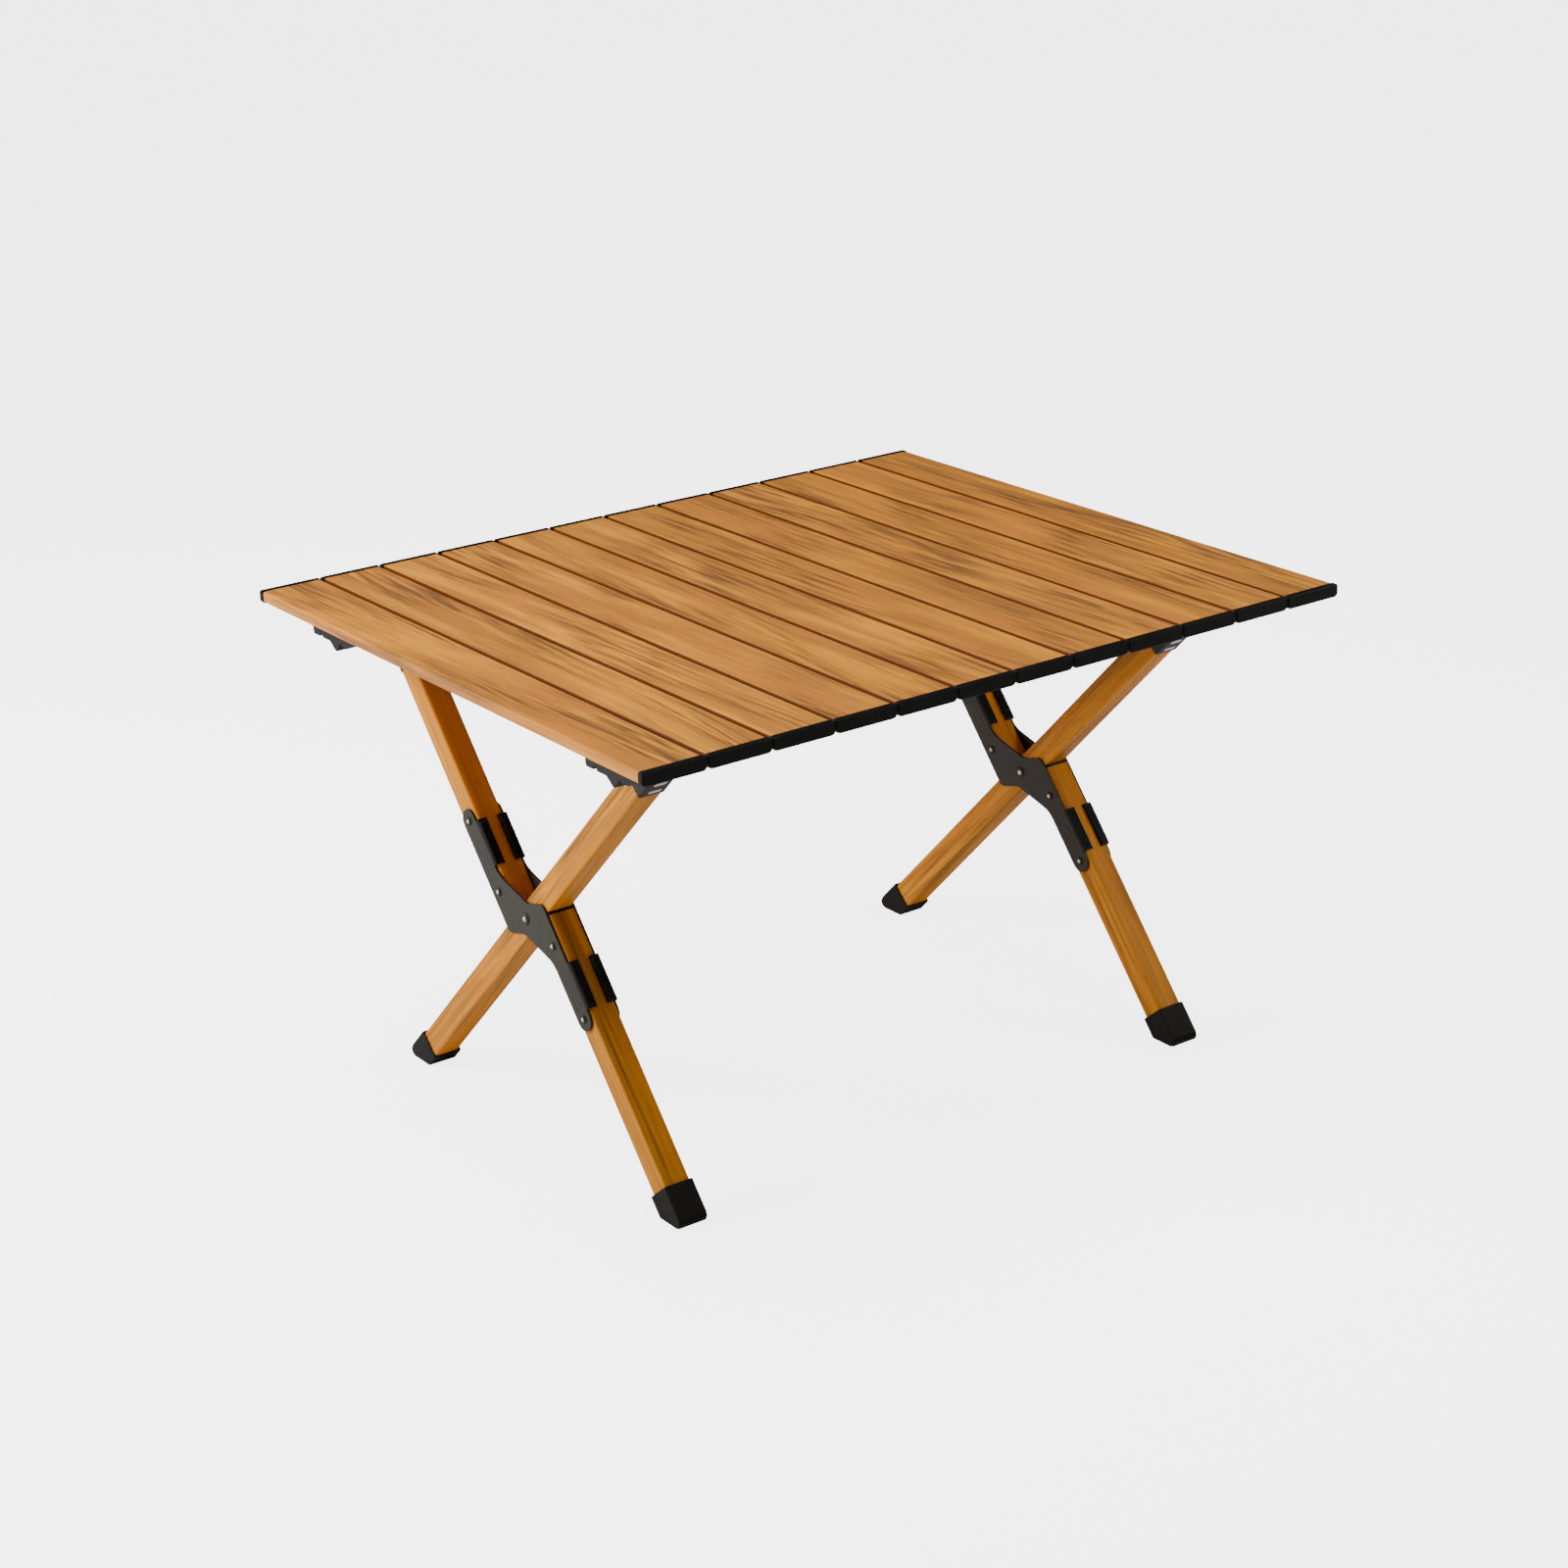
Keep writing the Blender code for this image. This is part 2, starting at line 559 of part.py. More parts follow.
def bracket_mesh(end):
    """A corner bracket: a web under the slats, ears for the leg pin, cheeks for the rail pin and an arm."""
    top, under_web = LEG_PIN_DROP, LEG_PIN_DROP - SHEET
    web = box((-EAR_OUTSIDE, -WEB_LENGTH / 2, under_web), (EAR_OUTSIDE, WEB_LENGTH / 2, top))
    half_ear = EAR_TOP_LENGTH / 2
    ear_rounding = EAR_RADIUS - END_FLAT
    ear = rounded((
        (-half_ear, top - SHEET / 2, 0), (-half_ear, under_web - SHEET, 0),
        (-EAR_RADIUS, -EAR_RADIUS, ear_rounding), (EAR_RADIUS, -EAR_RADIUS, ear_rounding),
        (half_ear, under_web - SHEET, 0), (half_ear, top - SHEET / 2, 0),
    ), LARGE_CORNER_STEPS)
    ears = [prism(ear, "X", *sorted((way * EAR_INSIDE, way * EAR_OUTSIDE))) for way in (1, -1)]
    rail_z = top - RAIL_SIZE / 2
    low = rail_z - RAIL_END_RADIUS
    near, far = -EAR_INSIDE - SHEET / 2, -RAIL_PIN_REACH - RAIL_END_RADIUS
    cheek_rounding = RAIL_END_RADIUS - END_FLAT
    cheek = rounded((
        (near, low, 0), (near, top, 0), (far, top, cheek_rounding), (far, low, cheek_rounding),
    ), LARGE_CORNER_STEPS)
    cheek_outside = RAIL_CHEEK_INSIDE + SHEET
    cheeks = [prism(cheek, "Y", *sorted((way * RAIL_CHEEK_INSIDE, way * cheek_outside))) for way in (1, -1)]
    arm = box((EAR_INSIDE, -ARM_WIDTH / 2, under_web), (ARM_REACH + REST_WIDTH / 2, ARM_WIDTH / 2, top))
    rest_outline = slat_rest_outline(end * REST_OFFSET + REST_SHIFT - REST_LENGTH / 2)
    rest = prism(rest_outline, "X", ARM_REACH, ARM_REACH + REST_WIDTH)
    pins = [headed_pin("X", (0, 0, 0), EAR_OUTSIDE), rail_pin((-RAIL_PIN_REACH, 0, rail_z), cheek_outside)]
    return carved(web, joined=[*ears, *cheeks, arm, rest, *pins])


def rail_pin(centre, grip):
    """A pin along Y through a half rail's end, its plain ends standing out of cheeks at grip either side."""
    reach = grip + PIN_HEAD_HEIGHT
    return rod("Y", centre, -reach, reach, RAIL_PIN_RADIUS)


def half_rail_mesh():
    """A half rail along X, centred between its two pins, its ends rounded about them."""
    half_length = (RAIL_PIN_X - LINK_PIN_SPACING / 2) / 2
    half = RAIL_SIZE / 2
    reach = half_length + RAIL_END_RADIUS
    rounding = min(RAIL_END_RADIUS, half) - END_FLAT
    side_view = rounded(rectangle(-reach, reach, -half, half, rounding), LARGE_CORNER_STEPS)
    bore = half - RAIL_WALL
    hollow = box((-2 * reach, -bore, -bore), (2 * reach, bore, bore))
    holes = [
        rod("Y", (way * half_length, 0, 0), -RAIL_SIZE, RAIL_SIZE, RAIL_PIN_RADIUS + TOUCH_GAP)
        for way in (1, -1)
    ]
    return carved(prism(side_view, "Y", -half, half), cut=[hollow, *holes])


def link_mesh():
    """The middle link of a side rail: two cheeks and a floor strip, with a pin for each half rail."""
    half_spacing = LINK_PIN_SPACING / 2
    reach = half_spacing + RAIL_END_RADIUS
    outside = RAIL_CHEEK_INSIDE + LINK_SHEET
    half = RAIL_SIZE / 2
    ceiling = -half - RUNNING_GAP
    floor = ceiling - LINK_SHEET
    top_rounding, floor_rounding = RAIL_END_RADIUS - END_FLAT, RAIL_END_RADIUS / 2
    side_view = rounded((
        (-reach, floor, floor_rounding), (reach, floor, floor_rounding),
        (reach, half, top_rounding), (-reach, half, top_rounding),
    ), LARGE_CORNER_STEPS)
    block = prism(side_view, "Y", -outside, outside)
    inside = RAIL_CHEEK_INSIDE
    spaces = [box((-2 * reach, -inside, ceiling), (2 * reach, inside, 2 * half))]
    for low, high in ((-2 * reach, -half_spacing), (half_spacing, 2 * reach)):
        spaces.append(box((low, -inside, 2 * floor), (high, inside, 0)))
    pins = [rail_pin((way * half_spacing, 0, 0), outside) for way in (1, -1)]
    return carved(carved(block, cut=spaces), joined=pins)


def add_brackets(steel, parents):
    for (side, end), parent in parents.items():
        way = SIDES[side]
        mesh = bracket_mesh(ENDS[end] * way)
        if way < 0:
            mesh = moved(mesh, Matrix.Rotation(pi, 4, "Z"))
        place = (way * TRESTLE_X, ENDS[end] * RAIL_Y, LEG_PIN_HEIGHT)
        piece(f"corner_bracket_{end}_{side}", mesh, steel, place, parent)


def add_frame(wood, steel, black):
    """All that stands under the top. The left back bracket is the one that the rest hangs on.

    A trestle folds as its plated leg turns on the back bracket, the long leg turns twice as far the other
    way on the plates, and the front bracket turns back. A rail folds down in its middle in the same way.
    """
    def leg_pin_at(side, end):
        return (SIDES[side] * TRESTLE_X, ENDS[end] * RAIL_Y, LEG_PIN_HEIGHT)

    def rail_pin_at(side, end, reach):
        return (SIDES[side] * reach, ENDS[end] * RAIL_Y, RAIL_PIN_HEIGHT)

    def trestle_joints(side, parent):
        plated = joint(f"plated_leg_{side}_fold", leg_pin_at(side, "back"), parent)
        long_leg = joint(f"long_leg_{side}_fold", (SIDES[side] * TRESTLE_X, 0, CROSSING_HEIGHT), plated)
        return plated, long_leg, joint(f"front_bracket_{side}_fold", leg_pin_at(side, "front"), long_leg)

    def rail_joints(end, parent):
        left = joint(f"half_rail_{end}_left_fold", rail_pin_at("left", end, RAIL_PIN_X), parent)
        link = joint(f"rail_link_{end}_fold", rail_pin_at("left", end, LINK_PIN_SPACING / 2), left)
        right_pin = rail_pin_at("right", end, LINK_PIN_SPACING / 2)
        return left, link, joint(f"half_rail_{end}_right_fold", right_pin, link)

    root = joint("table_frame", leg_pin_at("left", "back"))
    left_plated, left_long, left_front = trestle_joints("left", root)
    back_rail = rail_joints("back", root)
    front_rail = rail_joints("front", left_front)
    right_back = joint("back_bracket_right_fold", rail_pin_at("right", "back", RAIL_PIN_X), back_rail[2])
    right_plated, right_long, right_front = trestle_joints("right", right_back)
    add_trestle("left", wood, steel, black, (left_plated, left_long))
    add_trestle("right", wood, steel, black, (right_plated, right_long))
    add_brackets(steel, {
        ("left", "back"): root, ("left", "front"): left_front,
        ("right", "back"): right_back, ("right", "front"): right_front,
    })
    middle = (RAIL_PIN_X + LINK_PIN_SPACING / 2) / 2
    for end, (left, link, right) in {"back": back_rail, "front": front_rail}.items():
        rail, height = ENDS[end] * RAIL_Y, RAIL_PIN_HEIGHT
        piece(f"half_rail_{end}_left", half_rail_mesh(), wood, (-middle, rail, height), left)
        piece(f"half_rail_{end}_right", half_rail_mesh(), wood, (middle, rail, height), right)
        piece(f"rail_link_{end}", link_mesh(), steel, (0, rail, height), link)


def main():
    clear_scene()
    wood_top = finish("wood_grain_top", (0.54, 0.29, 0.10), 0.42)
    wood_legs = finish("wood_grain_legs", (0.60, 0.30, 0.08), 0.38)
    steel = finish("grey_painted_steel", (0.045, 0.042, 0.036), 0.45, 0.3)
    black = finish("black_plastic", (0.010, 0.009, 0.008), 0.45)
    add_top(wood_top, black)
    add_frame(wood_legs, steel, black)


main()
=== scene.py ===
"""Looks of the roll-top camping table: a finish for every solid, and the small pieces that dress them.

Metres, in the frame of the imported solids. left is -X, right is +X, back is +Y and front is -Y. On a leg,
along runs up its slope, and across is square to it, towards the back. "out" is away from the middle.
"""

import json
from math import asin, atan2, cos, hypot, pi, radians, sin

import bmesh
import bpy
from mathutils import Matrix, Vector


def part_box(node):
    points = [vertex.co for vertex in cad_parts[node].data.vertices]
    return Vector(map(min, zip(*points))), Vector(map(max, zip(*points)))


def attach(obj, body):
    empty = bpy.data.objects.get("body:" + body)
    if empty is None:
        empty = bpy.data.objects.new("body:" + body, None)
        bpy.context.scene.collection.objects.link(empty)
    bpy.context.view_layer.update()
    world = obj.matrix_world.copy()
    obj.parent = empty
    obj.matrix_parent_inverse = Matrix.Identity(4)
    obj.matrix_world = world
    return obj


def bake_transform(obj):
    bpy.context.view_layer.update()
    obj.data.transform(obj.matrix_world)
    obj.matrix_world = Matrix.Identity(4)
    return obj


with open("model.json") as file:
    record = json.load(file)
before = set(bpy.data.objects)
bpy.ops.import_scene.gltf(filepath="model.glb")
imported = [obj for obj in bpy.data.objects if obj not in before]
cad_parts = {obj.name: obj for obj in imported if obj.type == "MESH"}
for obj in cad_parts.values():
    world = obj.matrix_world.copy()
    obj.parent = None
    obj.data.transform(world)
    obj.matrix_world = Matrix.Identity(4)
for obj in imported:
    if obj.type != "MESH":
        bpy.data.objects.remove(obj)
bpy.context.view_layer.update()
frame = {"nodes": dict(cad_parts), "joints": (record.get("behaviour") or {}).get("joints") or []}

# Camera, fitted to the corners and edges of the top and to the joint rivets
IMAGE_SIZE = 1600
FOCAL_LENGTH_PIXELS = 3277.3
SENSOR_MILLIMETRES = 36.0
CAMERA_PLACE = (-1.5663, -2.1510, 1.2633)
CAMERA_YAW = radians(35.80)
CAMERA_PITCH = radians(20.69)
CAMERA_ROLL = radians(-1.54)
CAMERA_NEAR = 0.05
CAMERA_FAR = 100.0

# Stage. AIR_GLOW is how bright the air looks past the floor's edge, and AIR_LIGHT how much it lights
FLOOR_REACH = 200.0
FLOOR_DROP = 0.0005
FLOOR_TONES = ((0.86, 0.86, 0.86), (0.90, 0.90, 0.90))
FLOOR_GLOW = 4.0
AIR_GLOW = 4.2
AIR_LIGHT = 0.08
BLACK = (0.0, 0.0, 0.0)
WHITE = (1.0, 1.0, 1.0)

# White square lights: name, place, size in metres and power in watts. All of them face LIT_SPOT
LIT_SPOT = (0.0, 0.0, 0.3)
LIGHTS = (
    ("key_back_left", (-1.85, 0.95, 1.15), 0.9, 64.0),
    ("soft_above", (-0.1, 0.2, 2.7), 1.6, 32.0),
    ("fill_front", (0.15, -1.35, 1.95), 0.9, 10.0),
    ("glow_right", (0.80, -0.58, 0.62), 0.4, 2.4),
)

# The solids' own sizes that no box of theirs gives
TOUCH_GAP = 0.0003
BUTT_GAP = 0.0005
PLATE_THICKNESS = 0.0020
MID_RIVET_AT = 0.0353
END_RIVET_AT = 0.1024
RIVET_HEAD_HEIGHT = 0.0012
RIVET_HEAD_RADIUS = 0.0034
MIDDLE_HEAD_RADIUS = 0.0051
TAB_AT = 0.0555
TAB_LENGTH = 0.042
TAB_DEPTH = 0.0068
TAB_THICKNESS = 0.0015
LEG_EDGE_RADIUS = 0.0020
LEG_PAST_PIN = 0.012
SLAT_COUNT = 12

# HAIR and SINK are small steps that keep faces out of one plane. Raised details start SINK deep
HAIR = 0.00002
SINK = 0.00005
SMOOTH_ANGLE = radians(35)

# Rivet collars and domes. A collar's outer wall is rings of (share of the head's height, share of the rim)
COLLAR_RIM = 0.0003
COLLAR_WALL = ((0.0, 1.0), (0.45, 1.0), (0.85, 0.93))
COLLAR_LIP_RISE = 0.00015
COLLAR_LIP_SHARES = (0.80, 0.62)
COLLAR_FLOOR_SHARE = 0.56
DOME_RADIUS = 0.0019
MIDDLE_DOME_RADIUS = 0.002375
DOME_HEIGHT = 0.0009
DOME_SINK = 0.0001
DOME_STEPS = 6
DOME_TIP_SHARE = 0.05

# Beads: rings from foot to crest, by share of the height, and how much of the width the crest loses
BEAD_LEVELS = (0.0, 0.35, 0.7, 1.0)
BEAD_CREST_LOSS = 0.65
PLATE_BEAD_SHIFT = 0.0042
PLATE_BEAD_FROM_MID_RIVET = 0.010
PLATE_BEAD_FROM_END_RIVET = 0.008
PLATE_BEAD_HALF_WIDTH = 0.0013
PLATE_BEAD_HEIGHT = 0.0004

# Tab guards
GUARD_THICKNESS = 0.0009
GUARD_LAP = 0.0003
GUARD_TIP_WALL = 0.00027
GUARD_CHEEK = 0.0035
GUARD_ROOT_CHAMFER = 0.0006
GUARD_TIP_CHAMFER = 0.0005
GUARD_RIBS = 3
GUARD_RIB_FROM_TIP = 0.0022
GUARD_RIB_PITCH = 0.0029
GUARD_RIB_FROM_END = 0.002
GUARD_RIB_HALF_WIDTH = 0.0008
GUARD_RIB_HEIGHT = 0.0007

# Plugs in the half legs' inner ends
PLUG_CLEARANCE = 0.00025
PLUG_INSET = 0.0001

# Leg-top sleeves and their slots
SLEEVE_WALL = 0.0013
SLEEVE_SIDE_WALL = 0.0004
SLEEVE_CLEARANCE = 0.00005
SLEEVE_EDGE_RADIUS = 0.0022
SLEEVE_BELOW_PIN = {"long_leg": 0.028, "half_leg": 0.016}
SLEEVE_ROOM = 0.0003
SLEEVE_SHOULDER = 0.0008
SLEEVE_CROWN = 0.0018
CROWN_SIDE_INSET = 0.0008
CROWN_INSET = 0.0012
SLOT_WIDTH = 0.0042
SLOT_LENGTH = 0.0125
SLOT_ENDS_SHARE = 0.98
SLOTS_FROM_LOW_END = (0.006, 0.018)
SLOT_DEPTH = 0.0004
SLOT_EDGE_RISE = 0.0001
SLOT_RISE = 0.00015
SLOT_FACE_SHARE = 0.97

# Elastic cords
CORD_RADIUS = 0.0019
CORD_SIDES = 16
CORD_INSET = 0.015
CORD_BRIDGE_REACH = 0.0025
CORD_SAG = 0.0004
CORD_STEPS = 6

# The way of each side along X
SIDES = {"left": -1, "right": 1}
JOINT_AT = {joint["name"]: Vector(joint["pos_m"]) for joint in frame["joints"] if "pos_m" in joint}


def box_size(node, axis):
    low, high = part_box(node)
    return high[axis] - low[axis]


LEG_SIZE = box_size("long_leg_left", 0)
LEG_HALF = LEG_SIZE / 2
LEG_STEP = LEG_SIZE + TOUCH_GAP
CROSSING = {side: JOINT_AT[f"long_leg_{side}_fold"] for side in SIDES}
LEG_PIN_RISE = JOINT_AT["plated_leg_left_fold"].z - CROSSING["left"].z
LEG_PIN_Y = JOINT_AT["plated_leg_left_fold"].y
LEG_REACH = hypot(LEG_PIN_Y, LEG_PIN_RISE)
HALF_LEG_LEAN = asin(LEG_STEP / LEG_REACH)
LONG_LEG_SLOPE = atan2(LEG_PIN_RISE, -LEG_PIN_Y)
HALF_LEG_SLOPE = atan2(LEG_PIN_RISE, LEG_PIN_Y) + HALF_LEG_LEAN
HALF_LEG_PIN_AT = LEG_REACH * cos(HALF_LEG_LEAN)
PLATE_INSIDE = LEG_HALF + TOUCH_GAP
PLATE_OUTSIDE = PLATE_INSIDE + PLATE_THICKNESS
HEAD_TOP = PLATE_OUTSIDE + RIVET_HEAD_HEIGHT
SLAT_PITCH = (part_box("slat_12")[1].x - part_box("slat_01")[1].x) / (SLAT_COUNT - 1)
TOP_LEFT_EDGE = -SLAT_COUNT * SLAT_PITCH / 2


# Meshes

def mesh_piece(name, shape, material, body=None):
    """The bmesh as a named piece with a finish, and with a body if given."""
    bmesh.ops.recalc_face_normals(shape, faces=shape.faces)
    mesh = bpy.data.meshes.new(name)
    shape.to_mesh(mesh)
    shape.free()
    mesh.shade_smooth()
    mesh.set_sharp_from_angle(angle=SMOOTH_ANGLE)
    mesh.materials.append(material)
    piece = bpy.data.objects.new(name, mesh)
    bpy.context.scene.collection.objects.link(piece)
    if body is not None:
        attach(piece, body)
    return piece


def circle(radius, sides):
    """Points of a circle about the origin."""
    turns = [2 * pi * step / sides for step in range(sides)]
    return [(radius * cos(turn), radius * sin(turn)) for turn in turns]


def rounded_rectangle(half_u, half_v, radius, steps=5):
    """Points of a rectangle about the origin with round corners."""
    points = []
    for quarter, (u, v) in enumerate(((1, 1), (-1, 1), (-1, -1), (1, -1))):
        for step in range(steps + 1):
            angle = pi / 2 * (quarter + step / steps)
            points.append((
                u * (half_u - radius) + radius * cos(angle),
                v * (half_v - radius) + radius * sin(angle),
            ))
    return points


def add_rings(shape, rings):
    """Skins a list of rings of points and caps both ends."""
    made = [[shape.verts.new(point) for point in ring] for ring in rings]
    for first, second in zip(made, made[1:]):
        for index in range(len(first)):
            shape.faces.new((first[index - 1], first[index], second[index], second[index - 1]))
    shape.faces.new(made[0])
    shape.faces.new(made[-1])


def ringed(rings):
    """A new bmesh that skins a list of rings of points."""
    shape = bmesh.new()
    add_rings(shape, rings)
    return shape


def turned(profile, place, sides=32):
    """A new solid of revolution: profile holds (along, radius), and place takes its own Z to the piece."""
    return ringed([
        [place @ Vector((u, v, along)) for u, v in circle(radius, sides)] for along, radius in profile
    ])


def add_bead(shape, place, low, high, half_width, height, steps=6):
    """A raised bead on the place's own XY plane, from low to high along its Y, with rounded ends."""
    rings = []
    for share in BEAD_LEVELS:
        reach = half_width * (1 - BEAD_CREST_LOSS * sin(share * pi / 2))
        ring = []
        for start, centre in ((0.0, high - half_width), (pi, low + half_width)):
            for step in range(steps + 1):
                angle = start + pi * step / steps
                point = (reach * cos(angle), centre + reach * sin(angle), height * share)
                ring.append(place @ Vector(point))
        rings.append(ring)
    add_rings(shape, rings)


def leg_frame(side, slope):
    """From (X, across, along) on a leg of one trestle to the table."""
    return Matrix.Translation(CROSSING[side]) @ Matrix((
        (1, 0, 0, 0),
        (0, sin(slope), cos(slope), 0),
        (0, -cos(slope), sin(slope), 0),
        (0, 0, 0, 1),
    ))


def plate_faces():
    """The faces of all joint plates: side, name of the face, its way along X, and the half legs' frame."""
    for side, outward in SIDES.items():
        for face, way in (("out", outward), ("in", -outward)):
            yield side, face, way, leg_frame(side, HALF_LEG_SLOPE)


# Shader helpers

class Graph:
    """A node tree with short calls. Numbers, colours and sockets may all be given as inputs."""

    def __init__(self, tree):
        self.tree = tree

    def feed(self, node, inputs):
        """Links or sets the node's inputs by name or number. Colours are given without their alpha."""
        for key, value in inputs.items():
            socket = node.inputs[key]
            if isinstance(value, bpy.types.NodeSocket):
                self.tree.links.new(value, socket)
            elif socket.type == "RGBA":
                socket.default_value = (*value, 1.0)
            else:
                socket.default_value = value

    def node(self, kind, inputs=None, **settings):
        made = self.tree.nodes.new(kind)
        for name, value in settings.items():
            setattr(made, name, value)
        self.feed(made, inputs or {})
        return made

    def group(self, tree, inputs):
        return self.node("ShaderNodeGroup", inputs, node_tree=tree)

    def math(self, operation, first, second=0.0, clamp=False):
        made = self.node("ShaderNodeMath", {0: first, 1: second}, operation=operation, use_clamp=clamp)
        return made.outputs[0]

    def vector_math(self, operation, first, second):
        return self.node("ShaderNodeVectorMath", {0: first, 1: second}, operation=operation).outputs[0]

    def axis(self, vector, name):
        return self.node("ShaderNodeSeparateXYZ", {"Vector": vector}).outputs[name]

    def noise(self, vector, scale, detail, roughness=0.5):
        made = self.node("ShaderNodeTexNoise", {
            "Vector": vector, "Scale": scale, "Detail": detail, "Roughness": roughness,
        })
        return made.outputs["Fac"]

    def remap(self, value, low, high, to_low=0.0, to_high=1.0):
        made = self.node("ShaderNodeMapRange", {
            "Value": value, "From Min": low, "From Max": high, "To Min": to_low, "To Max": to_high,
        })
        return made.outputs["Result"]

    def mix(self, factor, first, second):
        return self.node("ShaderNodeMix", {0: factor, 6: first, 7: second}, data_type="RGBA").outputs[2]

    def bump(self, height, strength, distance):
        made = self.node("ShaderNodeBump", {"Height": height, "Strength": strength, "Distance": distance})
        return made.outputs["Normal"]

    def place(self):
        return self.node("ShaderNodeTexCoord").outputs["Object"]

    def seen_by_camera(self):
        return self.node("ShaderNodeLightPath").outputs["Is Camera Ray"]


def new_group(name, inputs, outputs):
    """An empty shader node group: (graph, the sockets it is given, its output node)."""
    tree = bpy.data.node_groups.new(name, "ShaderNodeTree")
    kinds = {"value": "NodeSocketFloat", "color": "NodeSocketColor", "vector": "NodeSocketVector"}
    for socket, kind in inputs:
        tree.interface.new_socket(socket, in_out="INPUT", socket_type=kinds[kind])
    for socket, kind in outputs:
        tree.interface.new_socket(socket, in_out="OUTPUT", socket_type=kinds[kind])
    graph = Graph(tree)
    return graph, graph.node("NodeGroupInput").outputs, graph.node("NodeGroupOutput")


def new_material(name):
    """A material with its own Principled shader: (material, graph, shader)."""
    material = bpy.data.materials.new(name)
    material.use_nodes = True
    return material, Graph(material.node_tree), material.node_tree.nodes["Principled BSDF"]


# Shared effects

# Noises of the printed grain: scale per metre across and along the fibres, detail and roughness
GRAIN = {
    "waver": (9.0, 4.5, 1.0, 0.50),
    "broad": (64.0, 7.0, 2.0, 0.55),
    "warm": (42.0, 5.5, 2.0, 0.50),
    "cluster": (26.0, 8.0, 1.0, 0.50),
    "streak": (250.0, 15.0, 3.0, 0.60),
    "hair": (900.0, 32.0, 2.0, 0.60),
    "pore": (1500.0, 110.0, 1.0, 0.50),
}

# The span of a noise over which its mark comes in
GRAIN_SPANS = {
    "broad": (0.40, 0.60),
    "warm": (0.46, 0.62),
    "cluster": (0.36, 0.62),
    "streak": (0.40, 0.62),
    "hair": (0.40, 0.70),
    "pore": (0.64, 0.74),
}
WARM_STRENGTH = 0.85
HAIR_STRENGTH = 0.36
PORE_STRENGTH = 0.25
BOARD_JUMP = (3.1, 7.3, 2.3)
BOARD_TONES = (0.88, 1.07)
FIBRE_LEAN = 0.07
FIBRE_WAVER = 0.013
GLOSS_SPAN = (0.3, 0.7)
GLOSS_SWING = 0.04


def grain_noise(graph, place, mark):
    across, along, detail, roughness = GRAIN[mark]
    stretched = graph.vector_math("MULTIPLY", place, (across, along, across))
    return graph.noise(stretched, 1.0, detail, roughness)


def make_wood_print():
    """Printed wood grain. Place is in metres, with the grain along its Y and the board's width along X."""
    graph, given, result = new_group(
        "wood_print",
        (("Place", "vector"), ("Board", "value"), ("Light", "color"), ("Middle", "color"),
         ("Dark", "color"), ("Orange", "color"), ("Figure", "value")),
        (("Color", "color"), ("Pores", "value"), ("Gloss", "value")),
    )

    # Each board has its own part of the pattern, a slight lean of its fibres and its own tone
    random = graph.node("ShaderNodeTexWhiteNoise", {"W": given["Board"]}, noise_dimensions="1D")
    chance = graph.node("ShaderNodeSeparateColor", {"Color": random.outputs["Color"]}).outputs
    jump = graph.vector_math("MULTIPLY", random.outputs["Color"], BOARD_JUMP)
    place = graph.vector_math("ADD", given["Place"], jump)
    slant = graph.remap(chance[0], 0.0, 1.0, -FIBRE_LEAN, FIBRE_LEAN)
    lean = graph.math("MULTIPLY", graph.axis(given["Place"], "Y"), slant)
    tone = graph.remap(chance[2], 0.0, 1.0, *BOARD_TONES)

    # The fibres waver a few millimetres over a hand's length
    waver = graph.remap(grain_noise(graph, place, "waver"), 0.0, 1.0, -FIBRE_WAVER, FIBRE_WAVER)
    sway = graph.node("ShaderNodeCombineXYZ", {"X": graph.math("ADD", waver, lean)})
    fibre = graph.vector_math("ADD", place, sway.outputs[0])

    # Streaks show only where they cluster, by the figure's strength
    noises = {mark: grain_noise(graph, fibre, mark) for mark in GRAIN_SPANS}
    masks = {mark: graph.remap(noises[mark], *span) for mark, span in GRAIN_SPANS.items()}
    figure = graph.math("MULTIPLY", masks["cluster"], given["Figure"], clamp=True)
    base = graph.mix(masks["broad"], given["Middle"], given["Light"])
    base = graph.vector_math("MULTIPLY", base, tone)
    for mark, strength, color in (
        ("warm", WARM_STRENGTH, "Orange"),
        ("streak", figure, "Dark"),
        ("hair", HAIR_STRENGTH, "Dark"),
        ("pore", PORE_STRENGTH, "Dark"),
    ):
        share = graph.math("MULTIPLY", masks[mark], strength, clamp=True)
        base = graph.mix(share, base, given[color])
    gloss = graph.remap(noises["broad"], *GLOSS_SPAN, -GLOSS_SWING, GLOSS_SWING)

    graph.feed(result, {"Color": base, "Pores": masks["pore"], "Gloss": gloss})
    return graph.tree


TEXTURE_DETAIL = 2.0
CLOUD_SCALE = 45.0
CLOUD_DETAIL = 3.0
TEXTURE_ROUGHNESS = 0.6


def make_fine_texture():
    """A moulded or coated surface: Height is its fine bumps, Grain metres wide, Cloud a slow unevenness."""
    graph, given, result = new_group(
        "fine_texture",
        (("Place", "vector"), ("Grain", "value")),
        (("Height", "value"), ("Cloud", "value")),
    )
    scale = graph.math("DIVIDE", 1.0, given["Grain"])
    graph.feed(result, {
        "Height": graph.noise(given["Place"], scale, TEXTURE_DETAIL, TEXTURE_ROUGHNESS),
        "Cloud": graph.noise(given["Place"], CLOUD_SCALE, CLOUD_DETAIL, TEXTURE_ROUGHNESS),
    })
    return graph.tree


